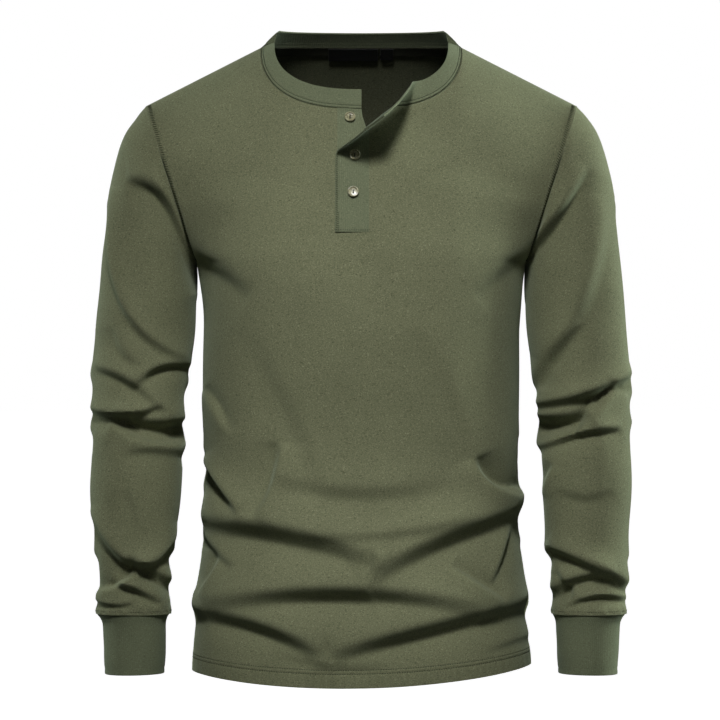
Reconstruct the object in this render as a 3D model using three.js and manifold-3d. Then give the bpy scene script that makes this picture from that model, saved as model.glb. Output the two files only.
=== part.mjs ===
// Long-sleeved henley shirt, filled out as if worn, with its placket open at the top.
// Millimetres, +Z up, the front faces -Y. The origin is the middle of the neck, level with its shoulder points.
// Every cloth piece is a thin closed wall: an outer surface worked out from the tables, and the same moved inwards.
import * as THREE from 'three';
import { mergeVertices } from 'three/addons/utils/BufferGeometryUtils.js';
import Module from 'manifold-3d';

// Cloth thicknesses and the clearance between sewn pieces
const JERSEY = 1.5;
const DOUBLE = 2.2;
const TAPE = 1.0;
const GAP = 0.3;

// Where the armhole starts under the arm and where it ends on the shoulder, on the wearer's left
const PIT = { x: 176, z: -231 };
const SHOULDER = { x: 230, z: -63 };
const SEAM_Y = 5;
const ARMHOLE_FRONT = -57;
const ARMHOLE_BACK = 53;

// Neck opening at the seam of the neckband, and the band's upper edge
const NECK = { half: 108, side: -1, front: -71, back: 5 };
const BAND_TOP = { half: 93, side: 5, front: -50, back: 19, rear: 22, taper: 0.86 };
const NECK_ROUND = 2.6;
const NECK_SQUARE = 2.4;

// Placket: a notch in the front, filled by two straps
const NOTCH = { left: -25, right: 8, bottom: -202.2 };
const UPPER_EDGE = -27;
const UNDER_EDGE = 7;
const UNDER_END = 0;
const UPPER_LIFT = 2.1;
const UNDER_DROP = 2.2;

// Turned-open corner: the cloth above this curve rolls outwards, tightly and then slackly
const ROLL = {
  from: [-34, -130.5], over: [25, -92], to: [70, -44],
  tight: 6.5, tightTurn: 1.82, slack: 190, before: 0.15, beyond: 0.15, forward: 0.55,
};

// Torso sections below the arms: half width at the side seams, depth forwards and backwards from them
const TORSO = [
  { z: -231, half: 176, front: -125, back: 111 },
  { z: -255, half: 173, front: -125.5, back: 109.5 },
  { z: -300, half: 170.5, front: -123, back: 102 },
  { z: -350, half: 169.5, front: -117, back: 91 },
  { z: -400, half: 169, front: -111, back: 83 },
  { z: -450, half: 167.5, front: -109, back: 84 },
  { z: -510, half: 171, front: -114, back: 94 },
  { z: -560, half: 174.5, front: -120, back: 103 },
  { z: -610, half: 179.5, front: -121, back: 107 },
  { z: -680, half: 182, front: -119, back: 107 },
];
const TORSO_SQUARE = 2.4;
const HEM = { front: -676.5, back: -675, rise: 15, tilt: 3.5 };
const CHEST_FALL = { front: [1.4, 0.6], back: [3, 0.5] };

// Sleeve sections from the armhole to the cuff: the outer and inner point seen from the front,
// the middle's y, the depth forwards and backwards, and the rings up to the next section
const SLEEVE = [
  { outX: 230, outZ: -63, inX: 176, inZ: -231, y: 5, front: 57, back: 53, rings: 2 },
  { outX: 252, outZ: -91.5, inX: 175.9, inZ: -238.5, y: 5, front: 58, back: 55, rings: 2 },
  { outX: 265.5, outZ: -134, inX: 175.6, inZ: -249, y: 5, front: 57, back: 55, rings: 2 },
  { outX: 274, outZ: -184, inX: 176, inZ: -268, y: 4, front: 56, back: 54, rings: 2 },
  { outX: 280, outZ: -247, inX: 178, inZ: -302, y: 2, front: 54, back: 52, rings: 3 },
  { outX: 284.5, outZ: -316, inX: 184, inZ: -345, y: -3, front: 51, back: 49, rings: 4 },
  { outX: 287, outZ: -370, inX: 189.5, inZ: -382, y: -8, front: 49, back: 47, rings: 4 },
  { outX: 287.5, outZ: -420, inX: 189.5, inZ: -424, y: -13, front: 47, back: 45.5, rings: 3 },
  { outX: 287.5, outZ: -470, inX: 192, inZ: -471, y: -18.5, front: 45, back: 44, rings: 3 },
  { outX: 285, outZ: -520, inX: 197, inZ: -520, y: -25, front: 42, back: 41, rings: 4 },
  { outX: 280.5, outZ: -568, inX: 201.5, inZ: -567, y: -30.5, front: 38, back: 38, rings: 3 },
  { outX: 281.5, outZ: -603.6, inX: 201.5, inZ: -603.6, y: -34, front: 36, back: 36, rings: 0 },
];
const CUFF = [
  { outX: 280, outZ: -603.9, inX: 203, inZ: -603.9, y: -34, front: 34.5, back: 34.5, rings: 1 },
  { outX: 276, outZ: -609, inX: 205.5, inZ: -609, y: -34.5, front: 33, back: 33, rings: 1 },
  { outX: 273.5, outZ: -617, inX: 207, inZ: -617, y: -35, front: 31.5, back: 31.5, rings: 1 },
  { outX: 272.5, outZ: -641, inX: 208, inZ: -641, y: -35.5, front: 30.5, back: 30.5, rings: 1 },
  { outX: 272, outZ: -667, inX: 208.5, inZ: -666, y: -36, front: 30.5, back: 30.5, rings: 0 },
];
const SLEEVE_SIDES = 18;

// How far a shoulder seam's edge faces tilt sideways, for each unit up
const SHOULDER_TILT = 0.42;

// Largest folds, seen from the front or the back. Each follows a curve through three points, drawn so that
// its crest is on the left of the way: crest and trough are heights, reach is how far the swell runs out.
const FRONT_FOLDS = [
  { from: [-186, -503], over: [-85, -510], to: [16, -545], crest: 7, trough: 8, reach: 24 },
  { from: [2, -570], over: [70, -529], to: [190, -492], crest: 7, trough: 8, reach: 24 },
  { from: [-168, -600], over: [-20, -581], to: [128, -601], crest: 6.5, trough: 7.5, reach: 23 },
  { from: [-196, -611], over: [-105, -618], to: [-40, -650], crest: 5, trough: 6, reach: 20 },
  { from: [-20, -650], over: [70, -620], to: [196, -597], crest: 6, trough: 8, reach: 21 },
  { from: [-137, -486], over: [-152, -470], to: [-172, -440], crest: 5, trough: 9, reach: 18 },
  { from: [124, -446], over: [134, -474], to: [166, -494], crest: 6, trough: 10, reach: 17 },
  { from: [-84, -436], over: [-97, -468], to: [-108, -498], crest: 2, trough: 3, reach: 22 },
];
const BACK_FOLDS = [
  { from: [-190, -470], over: [-60, -505], to: [60, -500], crest: 7, trough: 8, reach: 26 },
  { from: [-20, -545], over: [80, -520], to: [192, -478], crest: 7, trough: 8, reach: 24 },
  { from: [-150, -566], over: [-20, -586], to: [120, -574], crest: 6, trough: 7, reach: 23 },
  { from: [-190, -610], over: [-70, -634], to: [30, -630], crest: 5, trough: 6, reach: 20 },
  { from: [10, -646], over: [110, -624], to: [196, -596], crest: 5, trough: 6, reach: 20 },
  { from: [-110, -130], over: [-70, -220], to: [-62, -320], crest: 3, trough: 4, reach: 30 },
  { from: [62, -320], over: [74, -220], to: [112, -130], crest: 4, trough: 3, reach: 30 },
];
const RIGHT_SLEEVE_FRONT = [
  { from: [-262, -140], over: [-217, -163], to: [-183, -222], crest: 5, trough: 4, reach: 20 },
  { from: [-270, -150], over: [-254, -254], to: [-194, -338], crest: 5, trough: 2, reach: 26 },
  { from: [-296, -396], over: [-240, -392], to: [-180, -398], crest: 8, trough: 9, reach: 18 },
  { from: [-258, -399], over: [-222, -416], to: [-182, -420], crest: 5, trough: 5, reach: 13 },
  { from: [-296, -505], over: [-240, -545], to: [-188, -516], crest: 6, trough: 6, reach: 18 },
  { from: [-296, -566], over: [-246, -570], to: [-196, -588], crest: 5, trough: 5, reach: 14 },
];
const LEFT_SLEEVE_FRONT = [
  { from: [180, -212], over: [215, -180], to: [242, -136], crest: 4, trough: 5, reach: 20 },
  { from: [194, -338], over: [244, -260], to: [268, -160], crest: 5, trough: 2, reach: 26 },
  { from: [182, -392], over: [232, -386], to: [296, -356], crest: 8, trough: 9, reach: 18 },
  { from: [186, -424], over: [226, -402], to: [276, -366], crest: 6, trough: 6, reach: 14 },
  { from: [190, -538], over: [240, -550], to: [296, -576], crest: 6, trough: 6, reach: 17 },
  { from: [196, -590], over: [238, -572], to: [294, -588], crest: 4, trough: 5, reach: 13 },
];
const RIGHT_SLEEVE_BACK = [
  { from: [-276, -170], over: [-236, -210], to: [-190, -280], crest: 4, trough: 4, reach: 24 },
  { from: [-296, -350], over: [-240, -376], to: [-180, -362], crest: 6, trough: 6, reach: 20 },
  { from: [-296, -420], over: [-244, -412], to: [-184, -438], crest: 7, trough: 7, reach: 20 },
  { from: [-296, -540], over: [-240, -552], to: [-190, -536], crest: 5, trough: 5, reach: 17 },
];
const LEFT_SLEEVE_BACK = [
  { from: [190, -284], over: [238, -216], to: [276, -170], crest: 4, trough: 4, reach: 24 },
  { from: [180, -370], over: [236, -362], to: [296, -384], crest: 6, trough: 6, reach: 20 },
  { from: [184, -430], over: [240, -426], to: [296, -404], crest: 7, trough: 7, reach: 20 },
  { from: [190, -548], over: [240, -538], to: [296, -556], crest: 5, trough: 5, reach: 17 },
];
const FOLD_STEPS = 10;
const FOLD_SHIFT = 0.45;
const FOLD_FADE = 0.7;

// Buttons: the middle of each on the placket
const BUTTON = { radius: 5.8, rim: 2.7, dish: 1.7, rimWidth: 1.3, bevel: 0.5, hole: 0.85, spread: 1.5, seat: 0.55 };
const BUTTON_PLACES = [
  { name: 'button_top', x: -12, z: -81 },
  { name: 'button_middle', x: -7, z: -122 },
  { name: 'button_bottom', x: -8.5, z: -160.5 },
];

// Plain label and size tab inside the back neck, in millimetres across and down
const LABELS = [
  { name: 'neck_label', from: -36, to: 18, drop: 12 },
  { name: 'size_tab', from: 21.5, to: 35, drop: 11 },
];

const COLOURS = { jersey: 0x74765a, rib: 0x6c7658, tape: 0x2b2c22, label: 0x15150f, button: 0xb9ab8b };

const vec = (x, y, z) => new THREE.Vector3(x, y, z);
const blend = (from, to, share) => from + (to - from) * share;
const ramp = (value, low, high) => THREE.MathUtils.smoothstep(value, low, high);
const swell = (share, round, square) => Math.max(0, 1 - Math.abs(share) ** round) ** (1 / square);

// One column of a table between its rows, on a smooth curve through them
function column(table, name, keys, at) {
  const last = table.length - 1;
  let row = 0;
  while (row < last - 1 && (at - keys[row + 1]) * Math.sign(keys[1] - keys[0]) > 0) row += 1;
  const slope = (i) => {
    const low = Math.max(0, i - 1);
    const high = Math.min(last, i + 1);
    return (table[high][name] - table[low][name]) / (keys[high] - keys[low]);
  };
  const span = keys[row + 1] - keys[row];
  const t = THREE.MathUtils.clamp((at - keys[row]) / span, 0, 1);
  const start = table[row][name];
  const end = table[row + 1][name];
  return start * (1 + 2 * t) * (1 - t) ** 2 + slope(row) * span * t * (1 - t) ** 2
    + end * t * t * (3 - 2 * t) + slope(row + 1) * span * t * t * (t - 1);
}

// Height of one side of a swell that is steep towards the fold and slack away from it
function hump(offset, away, towards) {
  const width = offset > 0 ? away : towards;
  return Math.exp(-((offset / width) ** 2));
}

// How far the listed folds push the cloth out at a point seen from the front or the back
function foldHeight(folds, x, z) {
  let height = 0;
  for (const fold of folds) {
    const [ax, az] = fold.from;
    const [bx, bz] = fold.to;
    const mx = 2 * fold.over[0] - (ax + bx) / 2;
    const mz = 2 * fold.over[1] - (az + bz) / 2;
    const route = (t) => [
      (1 - t) ** 2 * ax + 2 * t * (1 - t) * mx + t * t * bx,
      (1 - t) ** 2 * az + 2 * t * (1 - t) * mz + t * t * bz,
    ];
    let best = { distance: Infinity };
    for (let step = 0; step < FOLD_STEPS; step += 1) {
      const [px, pz] = route(step / FOLD_STEPS);
      const [qx, qz] = route((step + 1) / FOLD_STEPS);
      const length = Math.hypot(qx - px, qz - pz);
      const along = ((x - px) * (qx - px) + (z - pz) * (qz - pz)) / length ** 2;
      const share = THREE.MathUtils.clamp(along, 0, 1);
      const distance = Math.hypot(x - px - share * (qx - px), z - pz - share * (qz - pz));
      if (distance < best.distance) {
        const side = Math.sign((qx - px) * (z - pz) - (qz - pz) * (x - px)) || 1;
        best = { distance, side, at: (step + share) / FOLD_STEPS };
      }
    }
    const fade = Math.sin(Math.PI * best.at) ** FOLD_FADE;
    const offset = best.side * best.distance;
    const shift = FOLD_SHIFT * fold.reach;
    height += fade * (fold.crest * hump(offset - shift, fold.reach, shift)
      - fold.trough * hump(-offset - shift, fold.reach, shift));
  }
  return height;
}

// Upper edge of the body: the shoulder slope, an arch that carries it over the neck, and the neck opening
function shoulderHeight(x) {
  const slope = (NECK.side - SHOULDER.z) / (SHOULDER.x - NECK.half);
  const beyond = Math.abs(x) - NECK.half;
  if (beyond > 0) return NECK.side - slope * beyond;
  return NECK.side + slope * NECK.half / 2 * (1 - (x / NECK.half) ** 2);
}

function neckHeight(face, x) {
  const deepest = face === 'front' ? NECK.front : NECK.back;
  return NECK.side + (deepest - NECK.side) * swell(x / NECK.half, NECK_ROUND, NECK_SQUARE);
}

function topHeight(face, x) {
  return Math.abs(x) < NECK.half ? neckHeight(face, x) : shoulderHeight(x);
}

function hemHeight(face, x) {
  const share = x / TORSO[TORSO.length - 1].half;
  return HEM[face] + HEM.rise * share ** 2 + HEM.tilt * share;
}

const TORSO_KEYS = TORSO.map((row) => row.z);

// Smooth torso surface. across runs from -1 to 1, level from 1 at the top to 0 at the pit and -1 at the hem.
function torsoForm(face, across, level) {
  const topX = SHOULDER.x * across;
  const top = level > 0 ? blend(PIT.z, topHeight(face, topX), level) : PIT.z;
  const climb = THREE.MathUtils.clamp((top - PIT.z) / (shoulderHeight(topX) - PIT.z), 0, 1);
  const half = blend(PIT.x, SHOULDER.x, climb);
  const spread = (topX - (SHOULDER.x - half) * across ** 3) / half;
  const share = THREE.MathUtils.clamp(spread, -1, 1);
  if (level >= 0) {
    const [bow, fall] = CHEST_FALL[face];
    const depth = TORSO[0][face] * (1 - climb ** bow) ** fall;
    const round = swell(share, TORSO_SQUARE - 0.2 * climb, blend(TORSO_SQUARE, 1, ramp(climb, 0, 0.45)));
    const arc = 4 * climb * (1 - climb);
    const edge = Math.abs(share) ** 10;
    const armhole = (face === 'front' ? ARMHOLE_FRONT : ARMHOLE_BACK)
      * blend(arc * ramp(climb, 0, 0.35), Math.sqrt(arc), edge);
    return vec(spread * half, SEAM_Y + round * depth + (1 - round) * armhole, top);
  }
  const z = blend(PIT.z, hemHeight(face, share * TORSO[TORSO.length - 1].half), -level);
  const width = column(TORSO, 'half', TORSO_KEYS, z);
  const depth = column(TORSO, face, TORSO_KEYS, z);
  return vec(share * width, SEAM_Y + swell(share, TORSO_SQUARE, TORSO_SQUARE) * depth, z);
}

// Direction out of a surface that is given as a function of two shares
function outward(form, a, b, stepA, stepB) {
  const alongA = form(a + stepA, b).sub(form(a - stepA, b));
  const alongB = form(a, b + stepB).sub(form(a, b - stepB));
  return alongA.cross(alongB).normalize();
}

// Folds stay away from the armhole, the neck and the shoulder seam, and pass over the side seam unbroken
function torsoFolds(face, across, level, point) {
  const nearArm = 1 - ramp(1 - Math.abs(across), 0, 0.14);
  const calm = (1 - nearArm * (1 - ramp(-point.z, 240, 300))) * (1 - ramp(level, 0.9, 1));
  const reach = (point.y - SEAM_Y) / 100;
  return calm * (foldHeight(FRONT_FOLDS, point.x, point.z) * ramp(-reach, -0.3, 0.3)
    + foldHeight(BACK_FOLDS, point.x, point.z) * ramp(reach, -0.3, 0.3));
}

function torsoPoint(face, across, level, lift = 0) {
  const form = (a, b) => torsoForm(face, a, b);
  const safeAcross = THREE.MathUtils.clamp(across, -0.995, 0.995);
  const safeLevel = THREE.MathUtils.clamp(level, -0.995, 0.995);
  const point = form(across, level);
  const normal = outward(form, safeAcross, safeLevel, 0.003, 0.003);
  if (face === 'back') normal.negate();
  if (Math.abs(across) === 1) normal.setY(0).normalize();
  return { point: point.addScaledVector(normal, lift + torsoFolds(face, across, level, point)), normal };
}

// Sleeve surface: section counts along the table, turn goes round from the inner side over the front
function sleeveForm(table, side, section, turn) {
  const keys = table.map((row, i) => i);
  const at = (name) => column(table, name, keys, section);
  const lean = (1 - Math.cos(turn)) / 2;
  const depth = Math.sin(turn) > 0 ? -at('front') : at('back');
  return vec(side * blend(at('inX'), at('outX'), lean), at('y') + depth * Math.abs(Math.sin(turn)),
    blend(at('inZ'), at('outZ'), lean));
}

function sleevePoint(table, side, section, turn) {
  const point = sleeveForm(table, side, section, turn);
  if (table === CUFF) return { point };
  const last = table.length - 1;
  const safe = THREE.MathUtils.clamp(section, 0.02, last - 0.02);
  const normal = outward((a, b) => sleeveForm(table, side, a, b), safe, turn, 0.01, 0.01).multiplyScalar(side);
  const facing = Math.sin(turn);
  const [front, back] = side < 0 ? [RIGHT_SLEEVE_FRONT, RIGHT_SLEEVE_BACK] : [LEFT_SLEEVE_FRONT, LEFT_SLEEVE_BACK];
  const calm = ramp(section, 0.2, 2.2) * (1 - ramp(section, last - 0.4, last));
  const height = foldHeight(front, point.x, point.z) * ramp(facing, -0.35, 0.35)
    + foldHeight(back, point.x, point.z) * ramp(-facing, -0.35, 0.35);
  return { point: point.addScaledVector(normal, calm * height) };
}

// The rolled-open corner of the placket: cloth beyond the roll curve turns up and away from the chest
function rollCurve(t) {
  const { from, over, to } = ROLL;
  const middle = [0, 1].map((i) => 2 * over[i] - (from[i] + to[i]) / 2);
  return [0, 1].map((i) => (1 - t) ** 2 * from[i] + 2 * t * (1 - t) * middle[i] + t * t * to[i]);
}

function chestAt(x, z, lift = 0) {
  let across = x / SHOULDER.x;
  let level = 0.5;
  for (let pass = 0; pass < 24; pass += 1) {
    level = (z - PIT.z) / (neckHeight('front', SHOULDER.x * across) - PIT.z);
    const half = blend(PIT.x, SHOULDER.x, (z - PIT.z) / (shoulderHeight(SHOULDER.x * across) - PIT.z));
    across = (x + (SHOULDER.x - half) * across ** 3) / SHOULDER.x;
  }
  return torsoPoint('front', across, level, lift);
}

const ROLL_STEPS = 40;
const rollFrames = Array.from({ length: ROLL_STEPS + 1 }, (_, i) => {
  const t = -ROLL.before + (1 + ROLL.before + ROLL.beyond) * i / ROLL_STEPS;
  const [x, z] = rollCurve(t);
  const [nextX, nextZ] = rollCurve(t + 0.01);
  const level = Math.min(z, neckHeight('front', x) - 1);
  const base = chestAt(x, level);
  const origin = base.point.clone().add(vec(0, ROLL.forward * (z - level), z - level));
  const normal = base.normal.clone();
  const along = vec(nextX - x, 0, nextZ - z);
  along.addScaledVector(normal, -along.dot(normal)).normalize();
  const away = normal.clone().cross(along).normalize();
  return { x, z, origin, normal, along, away };
});

function rollOpen(point) {
  let best = 0;
  let distance = Infinity;
  for (let i = 0; i < ROLL_STEPS; i += 1) {
    const a = rollFrames[i];
    const b = rollFrames[i + 1];
    const length = Math.hypot(b.x - a.x, b.z - a.z);
    const along = ((point.x - a.x) * (b.x - a.x) + (point.z - a.z) * (b.z - a.z)) / length ** 2;
    const share = THREE.MathUtils.clamp(along, 0, 1);
    const gap = Math.hypot(point.x - blend(a.x, b.x, share), point.z - blend(a.z, b.z, share));
    if (gap < distance) {
      distance = gap;
      best = i + share;
    }
  }
  const low = Math.min(ROLL_STEPS - 1, Math.floor(best));
  const share = best - low;
  const mix = (key) => rollFrames[low][key].clone().lerp(rollFrames[low + 1][key], share);
  const origin = mix('origin');
  const normal = mix('normal').normalize();
  const away = mix('away').normalize();
  const along = away.clone().cross(normal).normalize();
  const local = point.clone().sub(origin);
  const run = local.dot(away);
  if (run <= 0) return point.clone();
  const height = local.dot(normal);
  const tightRun = ROLL.tight * ROLL.tightTurn;
  const early = Math.min(run, tightRun) / ROLL.tight;
  const turn = early + Math.max(0, run - tightRun) / ROLL.slack;
  const forward = ROLL.tight * Math.sin(early) + ROLL.slack * (Math.sin(turn) - Math.sin(early));
  const rise = ROLL.tight * (1 - Math.cos(early)) + ROLL.slack * (Math.cos(early) - Math.cos(turn));
  return origin.clone()
    .addScaledVector(along, local.dot(along))
    .addScaledVector(away, forward - height * Math.sin(turn))
    .addScaledVector(normal, rise + height * Math.cos(turn));
}

// Directions out of a grid of points, from its neighbours along the rows and columns
function gridNormals(points, closed) {
  const rows = points.length;
  const columns = points[0].length;
  return points.map((row, i) => row.map((_, j) => {
    const before = closed ? (j + columns - 1) % columns : Math.max(0, j - 1);
    const after = closed ? (j + 1) % columns : Math.min(columns - 1, j + 1);
    const across = row[after].clone().sub(row[before]);
    const down = points[Math.min(rows - 1, i + 1)][j].clone().sub(points[Math.max(0, i - 1)][j]);
    return down.cross(across).normalize();
  }));
}

// A wall of even thickness behind a grid of outer points. Each cell of the grid can be left out by skip,
// normals can be set by fix along seams, and shape moves the finished corners.
function wall({ name, points, thickness, closed = false, flip = false, skip, fix, shape, colour, nudge }) {
  const rows = points.length;
  const columns = points[0].length;
  const normals = gridNormals(points, closed);
  const outer = [];
  const inner = [];
  points.forEach((row, i) => row.forEach((start, j) => {
    const normal = normals[i][j].multiplyScalar(flip ? -1 : 1);
    const set = fix && fix(i, j, normal);
    if (set) normal.copy(set).normalize();
    const point = start.clone();
    if (nudge) point.add(nudge(i, j) || vec(0, 0, 0));
    const under = point.clone().addScaledVector(normal, -thickness);
    outer.push(shape ? shape(point, j) : point);
    inner.push(shape ? shape(under, j) : under);
  }));
  const corners = [...outer, ...inner];
  const faces = [];
  const edges = new Map();
  const addOuter = (a, b, c) => {
    faces.push([a, b, c], [a + outer.length, c + outer.length, b + outer.length]);
    [[a, b], [b, c], [c, a]].forEach(([p, q]) => edges.set(`${p}_${q}`, [p, q]));
  };
  for (let i = 0; i + 1 < rows; i += 1) {
    for (let j = 0; j + (closed ? 0 : 1) < columns; j += 1) {
      if (skip && skip(i, j)) continue;
      const k = (j + 1) % columns;
      const [a, b, c, d] = [i * columns + j, i * columns + k, (i + 1) * columns + k, (i + 1) * columns + j];
      if (corners[a].distanceTo(corners[c]) <= corners[b].distanceTo(corners[d])) {
        addOuter(a, b, c);
        addOuter(a, c, d);
      } else {
        addOuter(a, b, d);
        addOuter(b, c, d);
      }
    }
  }
  for (const [p, q] of edges.values()) {
    if (edges.has(`${q}_${p}`)) continue;
    const [under, beyond] = [p + outer.length, q + outer.length];
    if (corners[p].z > corners[q].z) faces.push([q, p, beyond], [p, under, beyond]);
    else faces.push([q, p, under], [q, under, beyond]);
  }
  return solid(name, corners, faces, colour);
}

// A closed mesh from corners and faces, without unused corners and with its faces pointing out
function solid(name, corners, faces, colour) {
  let volume = 0;
  for (const [a, b, c] of faces) volume += corners[a].dot(corners[b].clone().cross(corners[c]));
  const used = new Map();
  const position = [];
  const index = [];
  for (const face of faces) {
    const order = volume > 0 ? face : [face[0], face[2], face[1]];
    for (const corner of order) {
      if (!used.has(corner)) {
        used.set(corner, used.size);
        position.push(corners[corner].x, corners[corner].y, corners[corner].z);
      }
      index.push(used.get(corner));
    }
  }
  const geometry = new THREE.BufferGeometry();
  geometry.setAttribute('position', new THREE.Float32BufferAttribute(position, 3));
  geometry.setIndex(index);
  return named(name, geometry, colour);
}

function named(name, geometry, colour, roughness = 0.9) {
  const mesh = new THREE.Mesh(geometry, new THREE.MeshStandardMaterial({ color: colour, roughness }));
  mesh.name = name;
  return mesh;
}

// Columns across the body, as the x of each at the level of the shoulders
const SHOULDER_COLUMNS = [140, 170, 196, 214, 225, 230];
const NECK_LEFT = [-108, -107.5, -105.5, -101, -93, -81, -65, -46, NOTCH.left];
const NECK_RIGHT = [NOTCH.right, 19, 31, 43, 55, 67, 81, 93, 101, 105.5, 107.5, 108];
const mirrored = (list) => [...list].reverse().map((x) => -x);
const FRONT_COLUMNS = [...mirrored(SHOULDER_COLUMNS), ...NECK_LEFT, -9, ...NECK_RIGHT, ...SHOULDER_COLUMNS];
const BACK_NECK = [32, 64, 90, 103, 108];
const BACK_COLUMNS = [
  ...mirrored(SHOULDER_COLUMNS), ...mirrored(BACK_NECK), 0, ...BACK_NECK, ...SHOULDER_COLUMNS,
];

// Rows: shares of the armhole from the shoulder down to the pit, then evenly spaced and closer over the folds
const notchLevel = (NOTCH.bottom - PIT.z) / (NECK.front - PIT.z);
const FRONT_LEVELS = [1, 0.985, 0.94, 0.875, 0.8, 0.72, 0.64, 0.56, 0.47, 0.37, 0.27, notchLevel, 0.08, 0.02, 0];
const BACK_LEVELS = [1, 0.975, 0.91, 0.8, 0.66, 0.5, 0.34, 0.2, 0.08, 0.02, 0];
const BODY_LEVELS = [0.03, 0.08, 0.15, 0.23, 0.31, 0.39, 0.45];
const FOLD_ROWS = 16;
for (let row = 1; row <= FOLD_ROWS; row += 1) BODY_LEVELS.push(0.45 + 0.55 * row / FOLD_ROWS);

// In-plane direction out of the armhole, where the body and the sleeve meet
function armholeNormal(side, face, level) {
  const middle = vec(side * (PIT.x + SHOULDER.x) / 2, SEAM_Y, (PIT.z + SHOULDER.z) / 2);
  const depth = (face === 'front' ? ARMHOLE_FRONT : ARMHOLE_BACK);
  const point = vec(side * blend(PIT.x, SHOULDER.x, level),
    SEAM_Y + depth * 2 * Math.sqrt(level * (1 - level)), blend(PIT.z, SHOULDER.z, level));
  const half = Math.hypot(SHOULDER.x - PIT.x, SHOULDER.z - PIT.z) / 2;
  const out = point.sub(middle);
  out.x /= half ** 2;
  out.z /= half ** 2;
  out.y /= depth ** 2;
  return out.normalize();
}

// The panel's normals, square to the seams it shares with its neighbours
function panelSeams(face, xs, levels) {
  return (i, j, normal) => {
    const side = Math.sign(xs[j]);
    const edge = j === 0 || j === xs.length - 1;
    if (edge && levels[i] >= 0) return armholeNormal(side, face, levels[i]);
    if (edge) return vec(normal.x, 0, normal.z);
    if (i > 0) return null;
    if (Math.abs(xs[j]) >= NECK.half) return vec(side * SHOULDER_TILT, 0, 1);
    return torsoPoint(face, xs[j] / SHOULDER.x, 1).normal;
  };
}

function panelNudge(face, xs, levels) {
  const away = vec(0, face === 'front' ? -GAP / 2 : GAP / 2, 0);
  return (i, j) => {
    const edge = j === 0 || j === xs.length - 1;
    const onShoulder = i === 0 && Math.abs(xs[j]) >= NECK.half;
    return (edge && levels[i] <= 0) || onShoulder ? away : null;
  };
}

function panel(face, xs, armLevels) {
  const levels = [...armLevels, ...BODY_LEVELS.map((share) => -share)];
  const points = levels.map((level) => xs.map((x) => torsoPoint(face, x / SHOULDER.x, level).point));
  const left = xs.indexOf(NOTCH.left);
  const right = xs.indexOf(NOTCH.right);
  const notchRow = levels.indexOf(notchLevel);
  const front = face === 'front';
  return wall({
    name: face, points, thickness: JERSEY, colour: COLOURS.jersey, flip: !front,
    skip: front ? (i, j) => i < notchRow && j >= left && j < right : null,
    fix: panelSeams(face, xs, levels),
    nudge: panelNudge(face, xs, levels),
    shape: front ? (point, j) => (j >= right && xs[j] < NECK.half ? rollOpen(point) : point) : null,
  });
}

// Placket straps, made from the chest's points between the notch's sides
const upperLift = (x) => UPPER_LIFT * (NOTCH.right - x) / (NOTCH.right - UPPER_EDGE);
const underLift = (x) => -UNDER_DROP * (x - NOTCH.left) / (UNDER_EDGE - NOTCH.left);
const underEdge = (level) => blend(UNDER_EDGE, UNDER_END, ramp(level, 0.8, 1));

function strap({ name, from, to, cells, lift, shape }) {
  const levels = FRONT_LEVELS.slice(0, FRONT_LEVELS.indexOf(notchLevel) + 1);
  const shares = Array.from({ length: cells + 1 }, (_, i) => i / cells);
  const across = (level, share) => blend(from, to(level), share);
  const points = levels.map((level) => shares.map((share) => {
    const x = across(level, share);
    return torsoPoint('front', x / SHOULDER.x, level, lift(x)).point;
  }));
  return wall({
    name, points, thickness: JERSEY, colour: COLOURS.rib, shape,
    fix: (i, j) => (i === 0 ? torsoPoint('front', across(1, shares[j]) / SHOULDER.x, 1).normal : null),
    nudge: (i) => (i === levels.length - 1 ? vec(0, 0, GAP) : null),
  });
}

// Neckband: a standing strip along the neck seam, from the under end round the back to the turned-open end
const UPPER_ENDS = [-0.75, -9.5, -18.25, UPPER_EDGE];
const UNDER_ENDS = [UNDER_END, -8, -16.5];

function neckRing() {
  const place = (face, lift) => (x) => ({ face, x, lift: lift(x) });
  const flush = () => 0;
  return [
    ...UNDER_ENDS.map(place('front', underLift)),
    ...[...NECK_LEFT].reverse().map(place('front', flush)),
    ...BACK_COLUMNS.filter((x) => Math.abs(x) < NECK.half).map(place('back', flush)),
    ...[...NECK_RIGHT].reverse().map(place('front', flush)),
    ...UPPER_ENDS.map(place('front', upperLift)),
  ];
}

function bandPoint(place, rise) {
  const seam = torsoPoint(place.face, place.x / SHOULDER.x, 1, place.lift);
  const share = place.x / NECK.half;
  const round = swell(share, NECK_ROUND, NECK_SQUARE);
  const rear = blend(BAND_TOP.side, BAND_TOP.rear, ramp(round, 0, 0.45));
  const target = vec(
    place.x * BAND_TOP.half / NECK.half,
    SEAM_Y + (seam.point.y - SEAM_Y) * BAND_TOP.taper,
    place.face === 'front' ? blend(BAND_TOP.side, BAND_TOP.front, round) : blend(rear, BAND_TOP.back, round ** 4),
  );
  const away = target.clone().sub(seam.point).normalize();
  const start = seam.point.addScaledVector(away, GAP * (1 + Math.abs(share) ** 10));
  return { point: start.lerp(target, rise), normal: seam.normal };
}

function neckband() {
  const ring = neckRing();
  const points = [0, 0.35, 0.7, 1].map((rise) => ring.map((place) => bandPoint(place, rise).point));
  const right = ring.findIndex((place) => place.face === 'front' && place.x === NECK.half);
  return wall({
    name: 'neckband', points, thickness: DOUBLE, colour: COLOURS.rib,
    fix: (i, j) => {
      if (i > 0) return null;
      const { x } = ring[j];
      return Math.abs(x) >= NECK.half ? vec(Math.sign(x) * SHOULDER_TILT, 0, 1) : bandPoint(ring[j], 0).normal;
    },
    shape: (point, j) => (j > right && ring[j].x < 80 ? rollOpen(point) : point),
  });
}

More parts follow.
